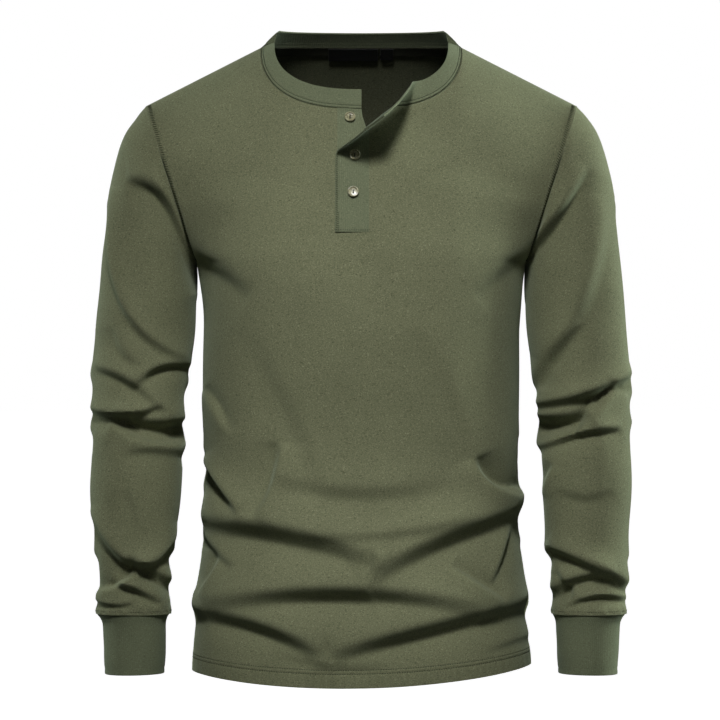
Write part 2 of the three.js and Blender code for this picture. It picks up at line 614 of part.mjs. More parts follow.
// Tape over the back neck seam and the plain labels that hang from it
function neckPatch({ name, from, to, drop, depth, colour }) {
  const xs = [from, ...BACK_COLUMNS.filter((x) => x > from && x < to), to];
  const levels = [1, BACK_LEVELS[1], 1 - drop / (NECK.back - PIT.z)];
  const points = levels.map((level) => xs.map((x) => torsoPoint('back', x / SHOULDER.x, level, -depth).point));
  return wall({ name, points, thickness: TAPE, colour, flip: true });
}

const TAPE_DEPTH = JERSEY + 0.5;
const LABEL_DEPTH = TAPE_DEPTH + TAPE + 0.7;

// Sleeves and cuffs: rings round the arm between the sections of their tables
function tube(name, table, side, thickness, colour) {
  const sections = [0];
  table.forEach((row, i) => {
    for (let ring = 1; ring <= row.rings; ring += 1) sections.push(i + ring / row.rings);
  });
  const turns = Array.from({ length: SLEEVE_SIDES }, (_, i) => 2 * Math.PI * i / SLEEVE_SIDES);
  const points = sections.map((section) => turns.map((turn) => sleevePoint(table, side, section, turn).point));
  const half = Math.hypot(SHOULDER.x - PIT.x, SHOULDER.z - PIT.z);
  const clear = vec(side * (SHOULDER.z - PIT.z), 0, PIT.x - SHOULDER.x).multiplyScalar(GAP / half);
  const isSleeve = table === SLEEVE;
  return wall({
    name, points, thickness, colour, closed: true, flip: side < 0,
    fix: (i, j, normal) => {
      if (i === 0 && isSleeve) {
        return armholeNormal(side, Math.sin(turns[j]) > 0 ? 'front' : 'back', (1 - Math.cos(turns[j])) / 2);
      }
      return i === 0 || i === sections.length - 1 ? vec(normal.x, normal.y, 0) : null;
    },
    nudge: (i) => (i === 0 && isSleeve ? clear : null),
  });
}

// Buttons: a turned disc with a raised rim and two holes
const manifold = await Module();
manifold.setup();

function asManifold(geometry) {
  geometry.deleteAttribute('normal');
  geometry.deleteAttribute('uv');
  const merged = mergeVertices(geometry, 1e-4);
  return new manifold.Manifold(new manifold.Mesh({
    numProp: 3,
    vertProperties: new Float32Array(merged.attributes.position.array),
    triVerts: new Uint32Array(merged.index.array),
  }));
}

function buttonGeometry() {
  const { radius, rim, dish, rimWidth, bevel, hole, spread } = BUTTON;
  const profile = [
    [0, 0], [radius - bevel, 0], [radius, bevel], [radius, rim - bevel], [radius - bevel, rim],
    [radius - rimWidth, rim], [radius - rimWidth - bevel, dish], [0, dish],
  ].map(([x, y]) => new THREE.Vector2(x, y));
  let disc = asManifold(new THREE.LatheGeometry(profile, 20));
  for (const side of [-1, 1]) {
    const drill = new THREE.CylinderGeometry(hole, hole, 3 * rim, 8).translate(0, 0, side * spread);
    disc = disc.subtract(asManifold(drill));
  }
  const { vertProperties, triVerts } = disc.getMesh();
  const geometry = new THREE.BufferGeometry();
  geometry.setAttribute('position', new THREE.BufferAttribute(new Float32Array(vertProperties), 3));
  geometry.setIndex(new THREE.BufferAttribute(new Uint32Array(triVerts), 1));
  return geometry;
}

function button({ name, x, z, lift }) {
  const on = (dx, dz) => chestAt(x + dx, z + dz, lift(x + dx)).point;
  const middle = on(0, 0);
  const across = on(2, 0).sub(on(-2, 0));
  const normal = on(0, -2).sub(on(0, 2)).cross(across).normalize();
  const mesh = named(name, buttonGeometry(), COLOURS.button, 0.35);
  mesh.quaternion.setFromRotationMatrix(new THREE.Matrix4().makeBasis(
    across.normalize(), normal, across.clone().cross(normal)));
  mesh.position.copy(middle).addScaledVector(normal, BUTTON.seat);
  return mesh;
}

const group = new THREE.Group();
group.add(
  panel('front', FRONT_COLUMNS, FRONT_LEVELS),
  panel('back', BACK_COLUMNS, BACK_LEVELS),
  tube('sleeve_right', SLEEVE, -1, JERSEY, COLOURS.jersey),
  tube('sleeve_left', SLEEVE, 1, JERSEY, COLOURS.jersey),
  tube('cuff_right', CUFF, -1, DOUBLE, COLOURS.rib),
  tube('cuff_left', CUFF, 1, DOUBLE, COLOURS.rib),
  neckband(),
  strap({ name: 'placket_under', from: NOTCH.left + GAP, to: underEdge, cells: 4, lift: underLift }),
  strap({
    name: 'placket_upper', from: UPPER_EDGE, to: () => NOTCH.right - GAP, cells: 4,
    lift: upperLift, shape: rollOpen,
  }),
  neckPatch({
    name: 'neck_tape', from: -92, to: 92, drop: 8,
    depth: TAPE_DEPTH, colour: COLOURS.tape,
  }),
);
for (const { name, from, to, drop } of LABELS) {
  group.add(neckPatch({
    name, from, to, drop, depth: LABEL_DEPTH, colour: COLOURS.label,
  }));
}
for (const { name, x, z } of BUTTON_PLACES) {
  group.add(button({ name, x, z, lift: name === 'button_top' ? underLift : upperLift }));
}

export default group;
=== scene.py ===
import math

import bpy
import numpy as np
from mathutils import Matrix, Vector


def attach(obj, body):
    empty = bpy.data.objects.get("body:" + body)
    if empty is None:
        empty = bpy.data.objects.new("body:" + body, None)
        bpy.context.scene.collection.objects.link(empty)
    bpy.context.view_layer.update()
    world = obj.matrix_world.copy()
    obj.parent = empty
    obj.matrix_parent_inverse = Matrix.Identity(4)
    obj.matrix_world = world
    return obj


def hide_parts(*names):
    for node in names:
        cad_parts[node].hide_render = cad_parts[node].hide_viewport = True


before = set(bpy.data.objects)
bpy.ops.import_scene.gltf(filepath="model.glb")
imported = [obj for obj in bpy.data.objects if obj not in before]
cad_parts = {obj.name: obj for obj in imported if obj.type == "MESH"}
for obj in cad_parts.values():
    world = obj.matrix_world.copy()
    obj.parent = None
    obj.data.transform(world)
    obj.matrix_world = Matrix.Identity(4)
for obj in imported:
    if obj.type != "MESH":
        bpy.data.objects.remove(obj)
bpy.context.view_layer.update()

MM = 0.001

JERSEY = 1.5
DOUBLE = 2.2
TAPE = 1.0
GAP = 0.3

PIT = (176.0, -231.0)
SHOULDER = (230.0, -63.0)
SEAM_Y = 5.0
ARMHOLE = {"front": -57.0, "back": 53.0}

NECK_HALF, NECK_SIDE = 108.0, -1.0
NECK_DEEPEST = {"front": -71.0, "back": 5.0}
BAND_HALF, BAND_SIDE, BAND_FRONT, BAND_BACK, BAND_REAR, BAND_TAPER = 93.0, 5.0, -50.0, 19.0, 18.0, 0.86
NECK_ROUND, NECK_SQUARE = 2.6, 2.4

NOTCH_LEFT, NOTCH_RIGHT, NOTCH_BOTTOM = -25.0, 8.0, -202.2
UPPER_EDGE, UNDER_EDGE, UNDER_END = -27.0, 7.0, 0.0
UPPER_LIFT, UNDER_DROP = 2.1, 2.2

ROLL_FROM, ROLL_OVER, ROLL_TO = (-34.0, -130.5), (20.0, -95.0), (57.0, -56.0)
ROLL_TIGHT, ROLL_TURN, ROLL_SLACK, ROLL_PAST, ROLL_FORWARD = 6.5, 1.82, 190.0, 0.15, 0.55

TORSO_Z = (-231, -255, -300, -350, -400, -450, -510, -560, -610, -680)
TORSO_HALF = (176, 173, 170.5, 169.5, 169, 167.5, 171, 174.5, 179.5, 182)
TORSO_DEPTH = {
    "front": (-125, -125.5, -123, -117, -111, -109, -114, -120, -121, -119),
    "back": (111, 109.5, 102, 91, 83, 84, 94, 103, 107, 107),
}
TORSO_SQUARE = 2.4
HEM = {"front": -676.5, "back": -675.0}
HEM_RISE, HEM_TILT = 15.0, 3.5
CHEST_FALL = {"front": (1.4, 0.6), "back": (3.0, 0.5)}

# Sections of the sleeve and the cuff: outer x and z, inner x and z, the middle's y, depth forwards, depth backwards
SLEEVE = np.array([
    (230, -63, 176, -231, 5, 57, 53),
    (252, -91.5, 175.9, -238.5, 5, 58, 55),
    (265.5, -134, 175.6, -249, 5, 57, 55),
    (274, -184, 176, -268, 4, 56, 54),
    (280, -247, 178, -302, 2, 54, 52),
    (284.5, -316, 184, -345, -3, 51, 49),
    (287, -370, 189.5, -382, -8, 49, 47),
    (287.5, -420, 189.5, -424, -13, 47, 45.5),
    (287.5, -470, 192, -471, -18.5, 45, 44),
    (285, -520, 197, -520, -25, 42, 41),
    (280.5, -568, 201.5, -567, -30.5, 38, 38),
    (281.5, -603.6, 201.5, -603.6, -34, 36, 36),
])
CUFF = np.array([
    (280, -603.9, 203, -603.9, -34, 34.5, 34.5),
    (276, -609, 205.5, -609, -34.5, 33, 33),
    (273.5, -617, 207, -617, -35, 31.5, 31.5),
    (272.5, -641, 208, -641, -35.5, 30.5, 30.5),
    (272, -667, 208.5, -666, -36, 30.5, 30.5),
])

# Folds, a row each: x and z of a start, a middle and an end, then crest, trough and reach. The crest is on the left of
# the way from start to end, in the plane of x and z.
FRONT_FOLDS = [
    (-176, -509, -75, -519, 24, -550, 7.5, 8, 27),
    (2, -569, 78, -527, 178, -493, 7.5, 8, 27),
    (-166, -594, -20, -578, 124, -596, 7, 8, 25),
    (-188, -602, -108, -614, -44, -644, 6, 7, 23),
    (-32, -644, 70, -616, 192, -591, 6.5, 8, 25),
    (-172, -440, -151, -468, -126, -496, 4, 5, 13),
    (174, -473, 141, -467, 118, -438, 5, 8, 13),
    (-86, -422, -93, -460, -109, -502, 4, 4.5, 14),
    (-176, -516, -158, -536, -134, -552, 2, 2.6, 13),
    (-156, -540, -160, -560, -172, -584, 2, 3, 9),
    (-140, -412, -153, -386, -168, -366, 1.5, 2.5, 10),
    (138, -570, 153, -538, 164, -508, 2.5, 3, 9),
    (148, -588, 122, -568, 96, -551, 3, 5, 11),
    (-60, -520, 30, -518, 120, -500, 2.5, 2, 16),
    (14, -532, 12, -548, 6, -568, 1.5, 2.5, 8),
    (-118, -300, -60, -420, -40, -480, 1.5, 1.5, 28),
    (60, -300, 95, -380, 118, -450, 1.6, 1.6, 26),
    (-96, -456, -6, -474, 92, -462, 2.2, 2.6, 24),
    (-184, -216, -150, -238, -112, -264, 1.2, 4.6, 30),
    (116, -266, 146, -240, 178, -216, 0.8, 3, 28),
    (-95, -640, -20, -655, 40, -648, 1, 1.5, 12),
    (130, -640, 160, -632, 186, -628, 0.8, 1.2, 9),
    (-150, -108, -90, -140, -40, -150, 0.4, 0.5, 20),
    (40, -160, 84, -132, 150, -112, 0.4, 0.6, 20),
]
BACK_FOLDS = [
    (-190, -470, -60, -505, 60, -500, 7, 8, 26),
    (-20, -545, 80, -520, 192, -478, 7, 8, 24),
    (-150, -566, -20, -586, 120, -574, 6, 7, 23),
    (-190, -610, -70, -634, 30, -630, 5, 6, 20),
    (10, -646, 110, -624, 196, -596, 5, 6, 20),
    (-132, -140, -76, -230, -60, -330, 1.6, 2, 42),
    (58, -340, 84, -236, 140, -150, 2, 1.6, 42),
    (-176, -430, -140, -446, -110, -470, 3, 4, 13),
    (108, -440, 140, -424, 174, -420, 3, 4, 13),
    (-60, -530, 0, -540, 50, -532, 1.5, 2, 12),
    (-172, -540, -140, -552, -112, -548, 2, 2.5, 11),
    (126, -548, 150, -540, 176, -528, 2, 2.5, 11),
    (-176, -236, -150, -246, -120, -262, 1.4, 3, 18),
    (122, -266, 150, -248, 176, -234, 1.4, 3, 18),
]
SLEEVE_FOLDS = {
    (-1, "front"): [
        (-248, -147, -202, -172, -168, -262, 5, 7.5, 17),
        (-268, -150, -256, -272, -186, -336, 6, 1.5, 12),
        (-294, -388, -250, -394, -212, -383, 5, 6, 11),
        (-262, -393, -216, -402, -176, -401, 5, 10, 16),
        (-178, -412, -215, -421, -268, -399, 5, 3, 10),
        (-284, -344, -242, -361, -204, -398, 3.5, 4, 13),
        (-240, -366, -214, -344, -180, -343, 3, 5, 10),
        (-252, -436, -222, -430, -186, -437, 1.4, 1.8, 12),
        (-290, -494, -238, -552, -188, -514, 6, 5.5, 14),
        (-240, -540, -244, -562, -284, -580, 4, 6.5, 10),
        (-242, -548, -218, -558, -194, -582, 4, 6.5, 11),
        (-270, -570, -240, -576, -212, -592, 3.5, 4.5, 9),
        (-286, -588, -262, -594, -240, -590, 2, 3, 7),
        (-262, -300, -252, -326, -232, -340, 1.5, 3, 14),
        (-250, -470, -240, -490, -236, -515, 1, 1.5, 12),
    ],
    (1, "front"): [
        (172, -222, 203, -190, 240, -132, 5, 6, 15),
        (194, -338, 244, -260, 262, -160, 4, 3, 24),
        (186, -384, 240, -372, 292, -350, 6, 6, 13),
        (176, -399, 208, -397, 240, -388, 5, 12, 18),
        (186, -430, 228, -414, 276, -408, 4.5, 4.5, 9),
        (246, -372, 234, -396, 226, -412, 3, 5, 9),
        (270, -360, 256, -378, 236, -404, 4, 4, 9),
        (188, -366, 200, -334, 232, -296, 3, 4, 13),
        (202, -446, 194, -462, 190, -480, 2, 3, 9),
        (196, -534, 240, -552, 286, -580, 6, 6.5, 14),
        (194, -590, 226, -566, 262, -566, 5, 6, 12),
        (206, -556, 216, -570, 222, -588, 2, 2.5, 9),
        (216, -596, 248, -584, 286, -590, 3, 4, 8),
        (206, -470, 236, -480, 262, -470, 1.2, 2, 14),
    ],
    (-1, "back"): [
        (-276, -170, -236, -210, -190, -280, 4, 4, 24),
        (-296, -350, -240, -376, -180, -362, 6, 6, 20),
        (-296, -420, -244, -412, -184, -438, 7, 7, 20),
        (-296, -540, -240, -552, -190, -536, 5, 5, 17),
        (-280, -390, -240, -394, -196, -404, 2, 3, 9),
        (-276, -580, -240, -574, -206, -584, 2, 2.5, 8),
    ],
    (1, "back"): [
        (190, -284, 238, -216, 276, -170, 4, 4, 24),
        (180, -370, 236, -362, 296, -384, 6, 6, 20),
        (184, -430, 240, -426, 296, -404, 7, 7, 20),
        (190, -548, 240, -538, 296, -556, 5, 5, 17),
        (200, -402, 238, -398, 280, -390, 2, 3, 9),
        (206, -582, 240, -576, 276, -582, 2, 2.5, 8),
    ],
}
FOLD_STEPS, FOLD_SHIFT, FOLD_FADE, FOLD_DEPTH = 14, 0.4, 0.55, 1.3
CREST_EDGE, VALLEY_EDGE = 1.6, 1.25


def vec(x, y, z):
    return np.stack(np.broadcast_arrays(x, y, z), -1).astype(float)


def unit(v):
    return v / np.maximum(np.linalg.norm(v, axis=-1, keepdims=True), 1e-9)


def same_shape(*values):
    return np.broadcast_arrays(*(np.asarray(value, float) for value in values))


def blend(a, b, share):
    return a + (b - a) * share


def ramp(value, low, high):
    t = np.clip((value - low) / (high - low), 0, 1)
    return t * t * (3 - 2 * t)


def swell(share, round_, square):
    return np.maximum(0, 1 - np.abs(share) ** round_) ** (1 / square)


def column(values, keys, at):
    """A table's column between its rows, on a smooth curve through them."""
    keys, values = np.asarray(keys, float), np.asarray(values, float)
    last = len(keys) - 1
    rows = np.arange(last + 1)
    low, high = np.maximum(rows - 1, 0), np.minimum(rows + 1, last)
    slopes = (values[high] - values[low]) / (keys[high] - keys[low])
    way = np.sign(keys[1] - keys[0])
    row = np.clip(np.searchsorted(keys * way, at * way, side="left") - 1, 0, last - 1)
    span = keys[row + 1] - keys[row]
    t = np.clip((at - keys[row]) / span, 0, 1)
    return (values[row] * (1 + 2 * t) * (1 - t) ** 2 + slopes[row] * span * t * (1 - t) ** 2
            + values[row + 1] * t * t * (3 - 2 * t) + slopes[row + 1] * span * t * t * (t - 1))


def hump(offset, away, towards, edge):
    """A hump that falls away with the given edge on its far side and smoothly on its near one."""
    share = np.abs(offset) / np.where(offset > 0, away, towards)
    return np.exp(-share ** np.where(offset > 0, edge, 2))


def fold_height(folds, x, z):
    """How far the listed folds push the cloth out at points seen from the front or the back."""
    height = np.zeros_like(x)
    for *places, crest, trough, reach in folds:
        a, over, b = np.array(places, float).reshape(3, 2)
        middle = 2 * over - (a + b) / 2
        t = np.linspace(0, 1, FOLD_STEPS + 1)[:, None]
        route = (1 - t) ** 2 * a + 2 * t * (1 - t) * middle + t * t * b
        best = np.full(x.shape, np.inf)
        side, at = np.ones_like(x), np.zeros_like(x)
        for step in range(FOLD_STEPS):
            (px, pz), (qx, qz) = route[step], route[step + 1]
            dx, dz = qx - px, qz - pz
            share = np.clip(((x - px) * dx + (z - pz) * dz) / (dx * dx + dz * dz), 0, 1)
            distance = np.hypot(x - px - share * dx, z - pz - share * dz)
            near = distance < best
            best = np.where(near, distance, best)
            side = np.where(near, np.sign(dx * (z - pz) - dz * (x - px)), side)
            at = np.where(near, (step + share) / FOLD_STEPS, at)
        fade = np.sin(np.pi * at) ** FOLD_FADE
        offset = side * best
        shift = FOLD_SHIFT * reach
        height += FOLD_DEPTH * fade * (crest * hump(offset - shift, reach, shift, CREST_EDGE)
                                       - trough * hump(-offset - shift, reach, shift, VALLEY_EDGE))
    return height


def soft_waves(x, z, seed, count, shortest, longest, size):
    """Slack unevenness of cloth: a few long waves with fixed random ways and phases."""
    rng = np.random.default_rng(seed)
    height = np.zeros_like(x)
    for _ in range(count):
        length = rng.uniform(shortest, longest)
        way, phase = rng.uniform(0, np.pi), rng.uniform(0, 2 * np.pi)
        height += size * length / longest * np.sin(2 * np.pi * (x * np.cos(way) + z * np.sin(way)) / length + phase)
    return height


def shoulder_height(x):
    slope = (NECK_SIDE - SHOULDER[1]) / (SHOULDER[0] - NECK_HALF)
    beyond = np.abs(x) - NECK_HALF
    arch = NECK_SIDE + slope * NECK_HALF / 2 * (1 - (x / NECK_HALF) ** 2)
    return np.where(beyond > 0, NECK_SIDE - slope * beyond, arch)


def neck_height(face, x):
    return NECK_SIDE + (NECK_DEEPEST[face] - NECK_SIDE) * swell(x / NECK_HALF, NECK_ROUND, NECK_SQUARE)


def top_height(face, x):
    return np.where(np.abs(x) < NECK_HALF, neck_height(face, x), shoulder_height(x))


def hem_height(face, x):
    share = x / TORSO_HALF[-1]
    return HEM[face] + HEM_RISE * share ** 2 + HEM_TILT * share


def torso_form(face, across, level):
    """Smooth torso surface: across from -1 to 1, level from 1 at the top to 0 at the pit and -1 at the hem."""
    across, level = same_shape(across, level)
    top_x = SHOULDER[0] * across
    top = PIT[1] + np.where(level > 0, (top_height(face, top_x) - PIT[1]) * level, 0)
    climb = np.clip((top - PIT[1]) / (shoulder_height(top_x) - PIT[1]), 0, 1)
    half = blend(PIT[0], SHOULDER[0], climb)
    spread = (top_x - (SHOULDER[0] - half) * across ** 3) / half
    share = np.clip(spread, -1, 1)
    bow, fall = CHEST_FALL[face]
    depth = TORSO_DEPTH[face][0] * np.maximum(0, 1 - climb ** bow) ** fall
    round_ = np.maximum(0, 1 - np.abs(share) ** (TORSO_SQUARE - 0.2 * climb))
    round_ = round_ ** (1 / blend(TORSO_SQUARE, 1, ramp(climb, 0, 0.45)))
    arc = 4 * climb * (1 - climb)
    edge = np.abs(share) ** 10
    armhole = ARMHOLE[face] * blend(arc * ramp(climb, 0, 0.35), np.sqrt(arc), edge)
    chest = vec(spread * half, SEAM_Y + round_ * depth + (1 - round_) * armhole, top)
    z = PIT[1] + (hem_height(face, share * TORSO_HALF[-1]) - PIT[1]) * np.maximum(0, -level)
    body = vec(share * column(TORSO_HALF, TORSO_Z, z),
               SEAM_Y + swell(share, TORSO_SQUARE, TORSO_SQUARE) * column(TORSO_DEPTH[face], TORSO_Z, z), z)
    return np.where((level >= 0)[..., None], chest, body)


def outward(form, a, b, step):
    along_a = form(a + step, b) - form(a - step, b)
    along_b = form(a, b + step) - form(a, b - step)
    return unit(np.cross(along_a, along_b))


def torso_folds(across, level, point):
    x, y, z = point[..., 0], point[..., 1], point[..., 2]
    near_arm = 1 - ramp(1 - np.abs(across), 0, 0.14)
    calm = (1 - near_arm * (1 - ramp(-z, 240, 300))) * (1 - ramp(level, 0.9, 1))
    reach = (y - SEAM_Y) / 100
    front = fold_height(FRONT_FOLDS, x, z) + soft_waves(x, z, 3, 7, 70, 190, 0.5)
    back = fold_height(BACK_FOLDS, x, z) + soft_waves(x, z, 8, 7, 70, 190, 0.6)
    return calm * (front * ramp(-reach, -0.3, 0.3) + back * ramp(reach, -0.3, 0.3))


def torso_point(face, across, level, lift=0.0):
    across, level, lift = same_shape(across, level, lift)
    point = torso_form(face, across, level)
    normal = outward(lambda a, b: torso_form(face, a, b), np.clip(across, -0.995, 0.995),
                     np.clip(level, -0.995, 0.995), 0.003)
    if face == "back":
        normal = -normal
    edge = np.abs(across) > 0.99999
    normal[..., 1] = np.where(edge, 0, normal[..., 1])
    normal = unit(normal)
    return point + normal * (lift + torso_folds(across, level, point))[..., None], normal


def sleeve_form(table, side, section, turn):
    keys = np.arange(len(table))
    section, turn = same_shape(section, turn)
    out_x, out_z, in_x, in_z, middle, front, back = (column(table[:, k], keys, section) for k in range(7))
    lean = (1 - np.cos(turn)) / 2
    depth = np.where(np.sin(turn) > 0, -front, back)
    return vec(side * blend(in_x, out_x, lean), middle + depth * np.abs(np.sin(turn)), blend(in_z, out_z, lean))


def sleeve_point(table, side, section, turn, lift=0.0):
    point = sleeve_form(table, side, section, turn)
    last = len(table) - 1
    normal = outward(lambda a, b: sleeve_form(table, side, a, b), np.clip(section, 0.02, last - 0.02), turn,
                     0.01) * side
    x, z = point[..., 0], point[..., 2]
    facing = np.sin(turn)
    if table is CUFF:
        calm, height = 1, 0.25 * soft_waves(x, z, 21, 6, 20, 60, 1.0)
    else:
        calm = ramp(section, 0.05, 0.7) * (1 - ramp(section, last - 0.4, last))
        waves = soft_waves(x + 0.6 * point[..., 1], z, 5 + side, 6, 50, 130, 0.5)
        height = waves + (fold_height(SLEEVE_FOLDS[side, "front"], x, z) * ramp(facing, -0.35, 0.35)
                          + fold_height(SLEEVE_FOLDS[side, "back"], x, z) * ramp(-facing, -0.35, 0.35))
    return point + normal * (lift + calm * height)[..., None], normal


def chest_at(x, z, lift=0.0):
    """The chest's point and normal at a place seen from the front."""
    x, z = np.asarray(x, float), np.asarray(z, float)
    across = x / SHOULDER[0]
    for _ in range(24):
        level = (z - PIT[1]) / (neck_height("front", SHOULDER[0] * across) - PIT[1])
        half = blend(PIT[0], SHOULDER[0], (z - PIT[1]) / (shoulder_height(SHOULDER[0] * across) - PIT[1]))
        across = (x + (SHOULDER[0] - half) * across ** 3) / SHOULDER[0]
    return torso_point("front", across, level, lift)


ROLL_STEPS = 40


def roll_curve(t):
    start, over, end = (np.array(p) for p in (ROLL_FROM, ROLL_OVER, ROLL_TO))
    t = t[:, None]
    return (1 - t) ** 2 * start + 2 * t * (1 - t) * (2 * over - (start + end) / 2) + t * t * end


def roll_frames():
    t = -ROLL_PAST + (1 + 2 * ROLL_PAST) * np.arange(ROLL_STEPS + 1) / ROLL_STEPS
    here, ahead = roll_curve(t), roll_curve(t + 0.01)
    level = np.minimum(here[:, 1], neck_height("front", here[:, 0]) - 1)
    base, normal = chest_at(here[:, 0], level)
    rise = here[:, 1] - level
    origin = base + vec(0, ROLL_FORWARD * rise, rise)
    along = vec(ahead[:, 0] - here[:, 0], 0, ahead[:, 1] - here[:, 1])
    along = unit(along - normal * np.sum(along * normal, -1, keepdims=True))
    return here, origin, normal, unit(np.cross(normal, along))


ROLL_FRAMES = roll_frames()


def roll_open(points):
    """Turns the cloth beyond the roll curve up and away from the chest."""
    here, origins, normals, aways = ROLL_FRAMES
    shape, flat = points.shape, points.reshape(-1, 3)
    best, distance = np.zeros(len(flat)), np.full(len(flat), np.inf)
    for i in range(ROLL_STEPS):
        (ax, az), (bx, bz) = here[i], here[i + 1]
        dx, dz = bx - ax, bz - az
        share = np.clip(((flat[:, 0] - ax) * dx + (flat[:, 2] - az) * dz) / (dx * dx + dz * dz), 0, 1)
        gap = np.hypot(flat[:, 0] - ax - share * dx, flat[:, 2] - az - share * dz)
        near = gap < distance
        distance = np.where(near, gap, distance)
        best = np.where(near, i + share, best)
    low = np.minimum(ROLL_STEPS - 1, best.astype(int))
    share = (best - low)[:, None]
    origin = blend(origins[low], origins[low + 1], share)
    normal = unit(blend(normals[low], normals[low + 1], share))
    away = unit(blend(aways[low], aways[low + 1], share))
    along = unit(np.cross(away, normal))
    local = flat - origin
    run, height, slide = (np.sum(local * v, -1) for v in (away, normal, along))
    tight_run = ROLL_TIGHT * ROLL_TURN
    early = np.minimum(run, tight_run) / ROLL_TIGHT
    turn = early + np.maximum(0, run - tight_run) / ROLL_SLACK
    forward = ROLL_TIGHT * np.sin(early) + ROLL_SLACK * (np.sin(turn) - np.sin(early))
    rise = ROLL_TIGHT * (1 - np.cos(early)) + ROLL_SLACK * (np.cos(early) - np.cos(turn))
    rolled = (origin + along * slide[:, None] + away * (forward - height * np.sin(turn))[:, None]
              + normal * (rise + height * np.cos(turn))[:, None])
    return np.where((run > 0)[:, None], rolled, flat).reshape(shape)


def grid_normals(points, closed, flip):
    if closed:
        across = np.roll(points, -1, 1) - np.roll(points, 1, 1)
    else:
        across = np.gradient(points, axis=1)
    down = np.gradient(points, axis=0)
    return unit(np.cross(down, across)) * (-1 if flip else 1)


def surface_map(points, closed):
    """Distances along the cloth, sideways from the middle and down, for the knit to follow."""
    steps = np.linalg.norm(np.diff(points, axis=1), axis=-1)
    u = np.concatenate([np.zeros((len(points), 1)), np.cumsum(steps, 1)], 1)
    if not closed:
        u = u - u[:, [points.shape[1] // 2]]
    drop = np.linalg.norm(np.diff(points, axis=0), axis=-1)
    v = np.concatenate([np.zeros((1, points.shape[1])), np.cumsum(drop, 0)], 0)
    return np.stack([u, -v], -1) * MM


def shell(name, points, thickness, material, closed=False, flip=False, skip=None, normals=None, shape=None,
          rounding=0.0):
    """A closed wall of even thickness behind a grid of outer points, with its cut edges rounded."""
    rows, columns = points.shape[:2]
    own = grid_normals(points, closed, flip)
    if normals is not None:
        given = ~np.isnan(normals[..., 0])
        own[given] = unit(normals[given])
    outer, inner = points, points - own * thickness
    if shape is not None:
        outer, inner = shape(outer), shape(inner)
    uv = surface_map(points, closed).reshape(-1, 2)
    ids = np.arange(rows * columns).reshape(rows, columns)
    after = np.roll(ids, -1, 1)
    a, b, c, d = ids[:-1], after[:-1], after[1:], ids[1:]
    keep = np.ones(a.shape, bool)
    if not closed:
        keep[:, -1] = False
    if skip is not None:
        keep[:, :skip.shape[1]] &= ~skip
    quads = np.stack([a, b, c, d] if flip else [a, d, c, b], -1)[keep]
    count = rows * columns
    edges = {(p, q) for quad in quads.tolist() for p, q in zip(quad, quad[1:] + quad[:1])}
    rim = [(p, q) for p, q in edges if (q, p) not in edges]
    rim.sort()
    flat_outer, flat_inner = outer.reshape(-1, 3), inner.reshape(-1, 3)
    side = {}
    for p, q in rim:
        out = np.cross(flat_outer[q] - flat_outer[p], flat_outer[p] - flat_inner[p])
        for k in (p, q):
            side[k] = side.get(k, 0) + out
    middle_of = {k: 2 * count + n for n, k in enumerate(sorted(side))}
    swelling = rounding * thickness
    middle = np.array([(flat_outer[k] + flat_inner[k]) / 2 + unit(side[k]) * swelling for k in sorted(side)])
    corners = np.concatenate([flat_outer, flat_inner, middle.reshape(-1, 3)])
    corner_uv = np.concatenate([uv, uv, uv[sorted(side)]])
    faces = quads.tolist() + (quads[:, ::-1] + count).tolist()
    for p, q in rim:
        mp, mq = middle_of[p], middle_of[q]
        faces += [(q, p, mp, mq), (mq, mp, p + count, q + count)]
    # The inside mask, 1 on the inner face and 0.4 on the cut edges, drives the painted shade in the cloth shaders.
    inside = np.repeat([0.0, 1.0, 0.4], [count, count, len(middle)])
    return mesh_piece(name, corners, faces, material, corner_uv, inside)


def mesh_piece(name, corners, faces, material, uv=None, inside=None, sharp=0.9):
    used = np.unique(np.concatenate([np.asarray(face) for face in faces]))
    new = np.full(len(corners), -1)
    new[used] = np.arange(len(used))
    mesh = bpy.data.meshes.new(name)
    mesh.from_pydata((corners[used] * MM).tolist(), [], [new[list(face)].tolist() for face in faces])
    if uv is not None:
        layer = mesh.uv_layers.new(name="cloth")
        loops = np.empty(len(mesh.loops), int)
        mesh.loops.foreach_get("vertex_index", loops)
        layer.data.foreach_set("uv", uv[used][loops].astype(np.float32).ravel())
    if inside is not None:
        reverse = mesh.attributes.new("inside", "FLOAT", "POINT")
        reverse.data.foreach_set("value", inside[used].astype(np.float32))
    mesh.shade_smooth()
    mesh.set_sharp_from_angle(angle=sharp)
    mesh.materials.append(material)
    obj = bpy.data.objects.new(name, mesh)
    bpy.context.scene.collection.objects.link(obj)
    return obj


# Shader node groups and materials

def new_node(tree, kind, plugs=(), **settings):
    """A node with its settings, and its inputs linked to other sockets or set to plain values."""
    node = tree.nodes.new(kind)
    for name, value in settings.items():
        setattr(node, name, value)
    for name, value in dict(plugs).items():
        if isinstance(value, bpy.types.NodeSocket):
            tree.links.new(value, node.inputs[name])
        else:
            node.inputs[name].default_value = value
    return node


def new_group(name, kind, inputs, outputs):
    """A node group with its named inputs, their first values and its outputs."""
    tree = bpy.data.node_groups.new(name, kind)
    for way, rows in (("INPUT", inputs), ("OUTPUT", outputs)):
        for label, sort, *value in rows:
            made = tree.interface.new_socket(name=label, in_out=way, socket_type="NodeSocket" + sort)
            if value:
                made.default_value = value[0]
    return tree, tree.nodes.new("NodeGroupInput").outputs, tree.nodes.new("NodeGroupOutput").inputs


def noise(tree, where, scale, detail, roughness, distortion=0.0):
    return new_node(tree, "ShaderNodeTexNoise", {"Vector": where, "Scale": scale, "Detail": detail,
                                                 "Roughness": roughness, "Distortion": distortion}).outputs["Fac"]


def math_node(tree, operation, *values):
    return new_node(tree, "ShaderNodeMath", enumerate(values), operation=operation).outputs[0]


def spread_range(tree, value, low, high, to_low, to_high):
    return new_node(tree, "ShaderNodeMapRange", {"Value": value, "From Min": low, "From Max": high,
                                                 "To Min": to_low, "To Max": to_high}).outputs["Result"]


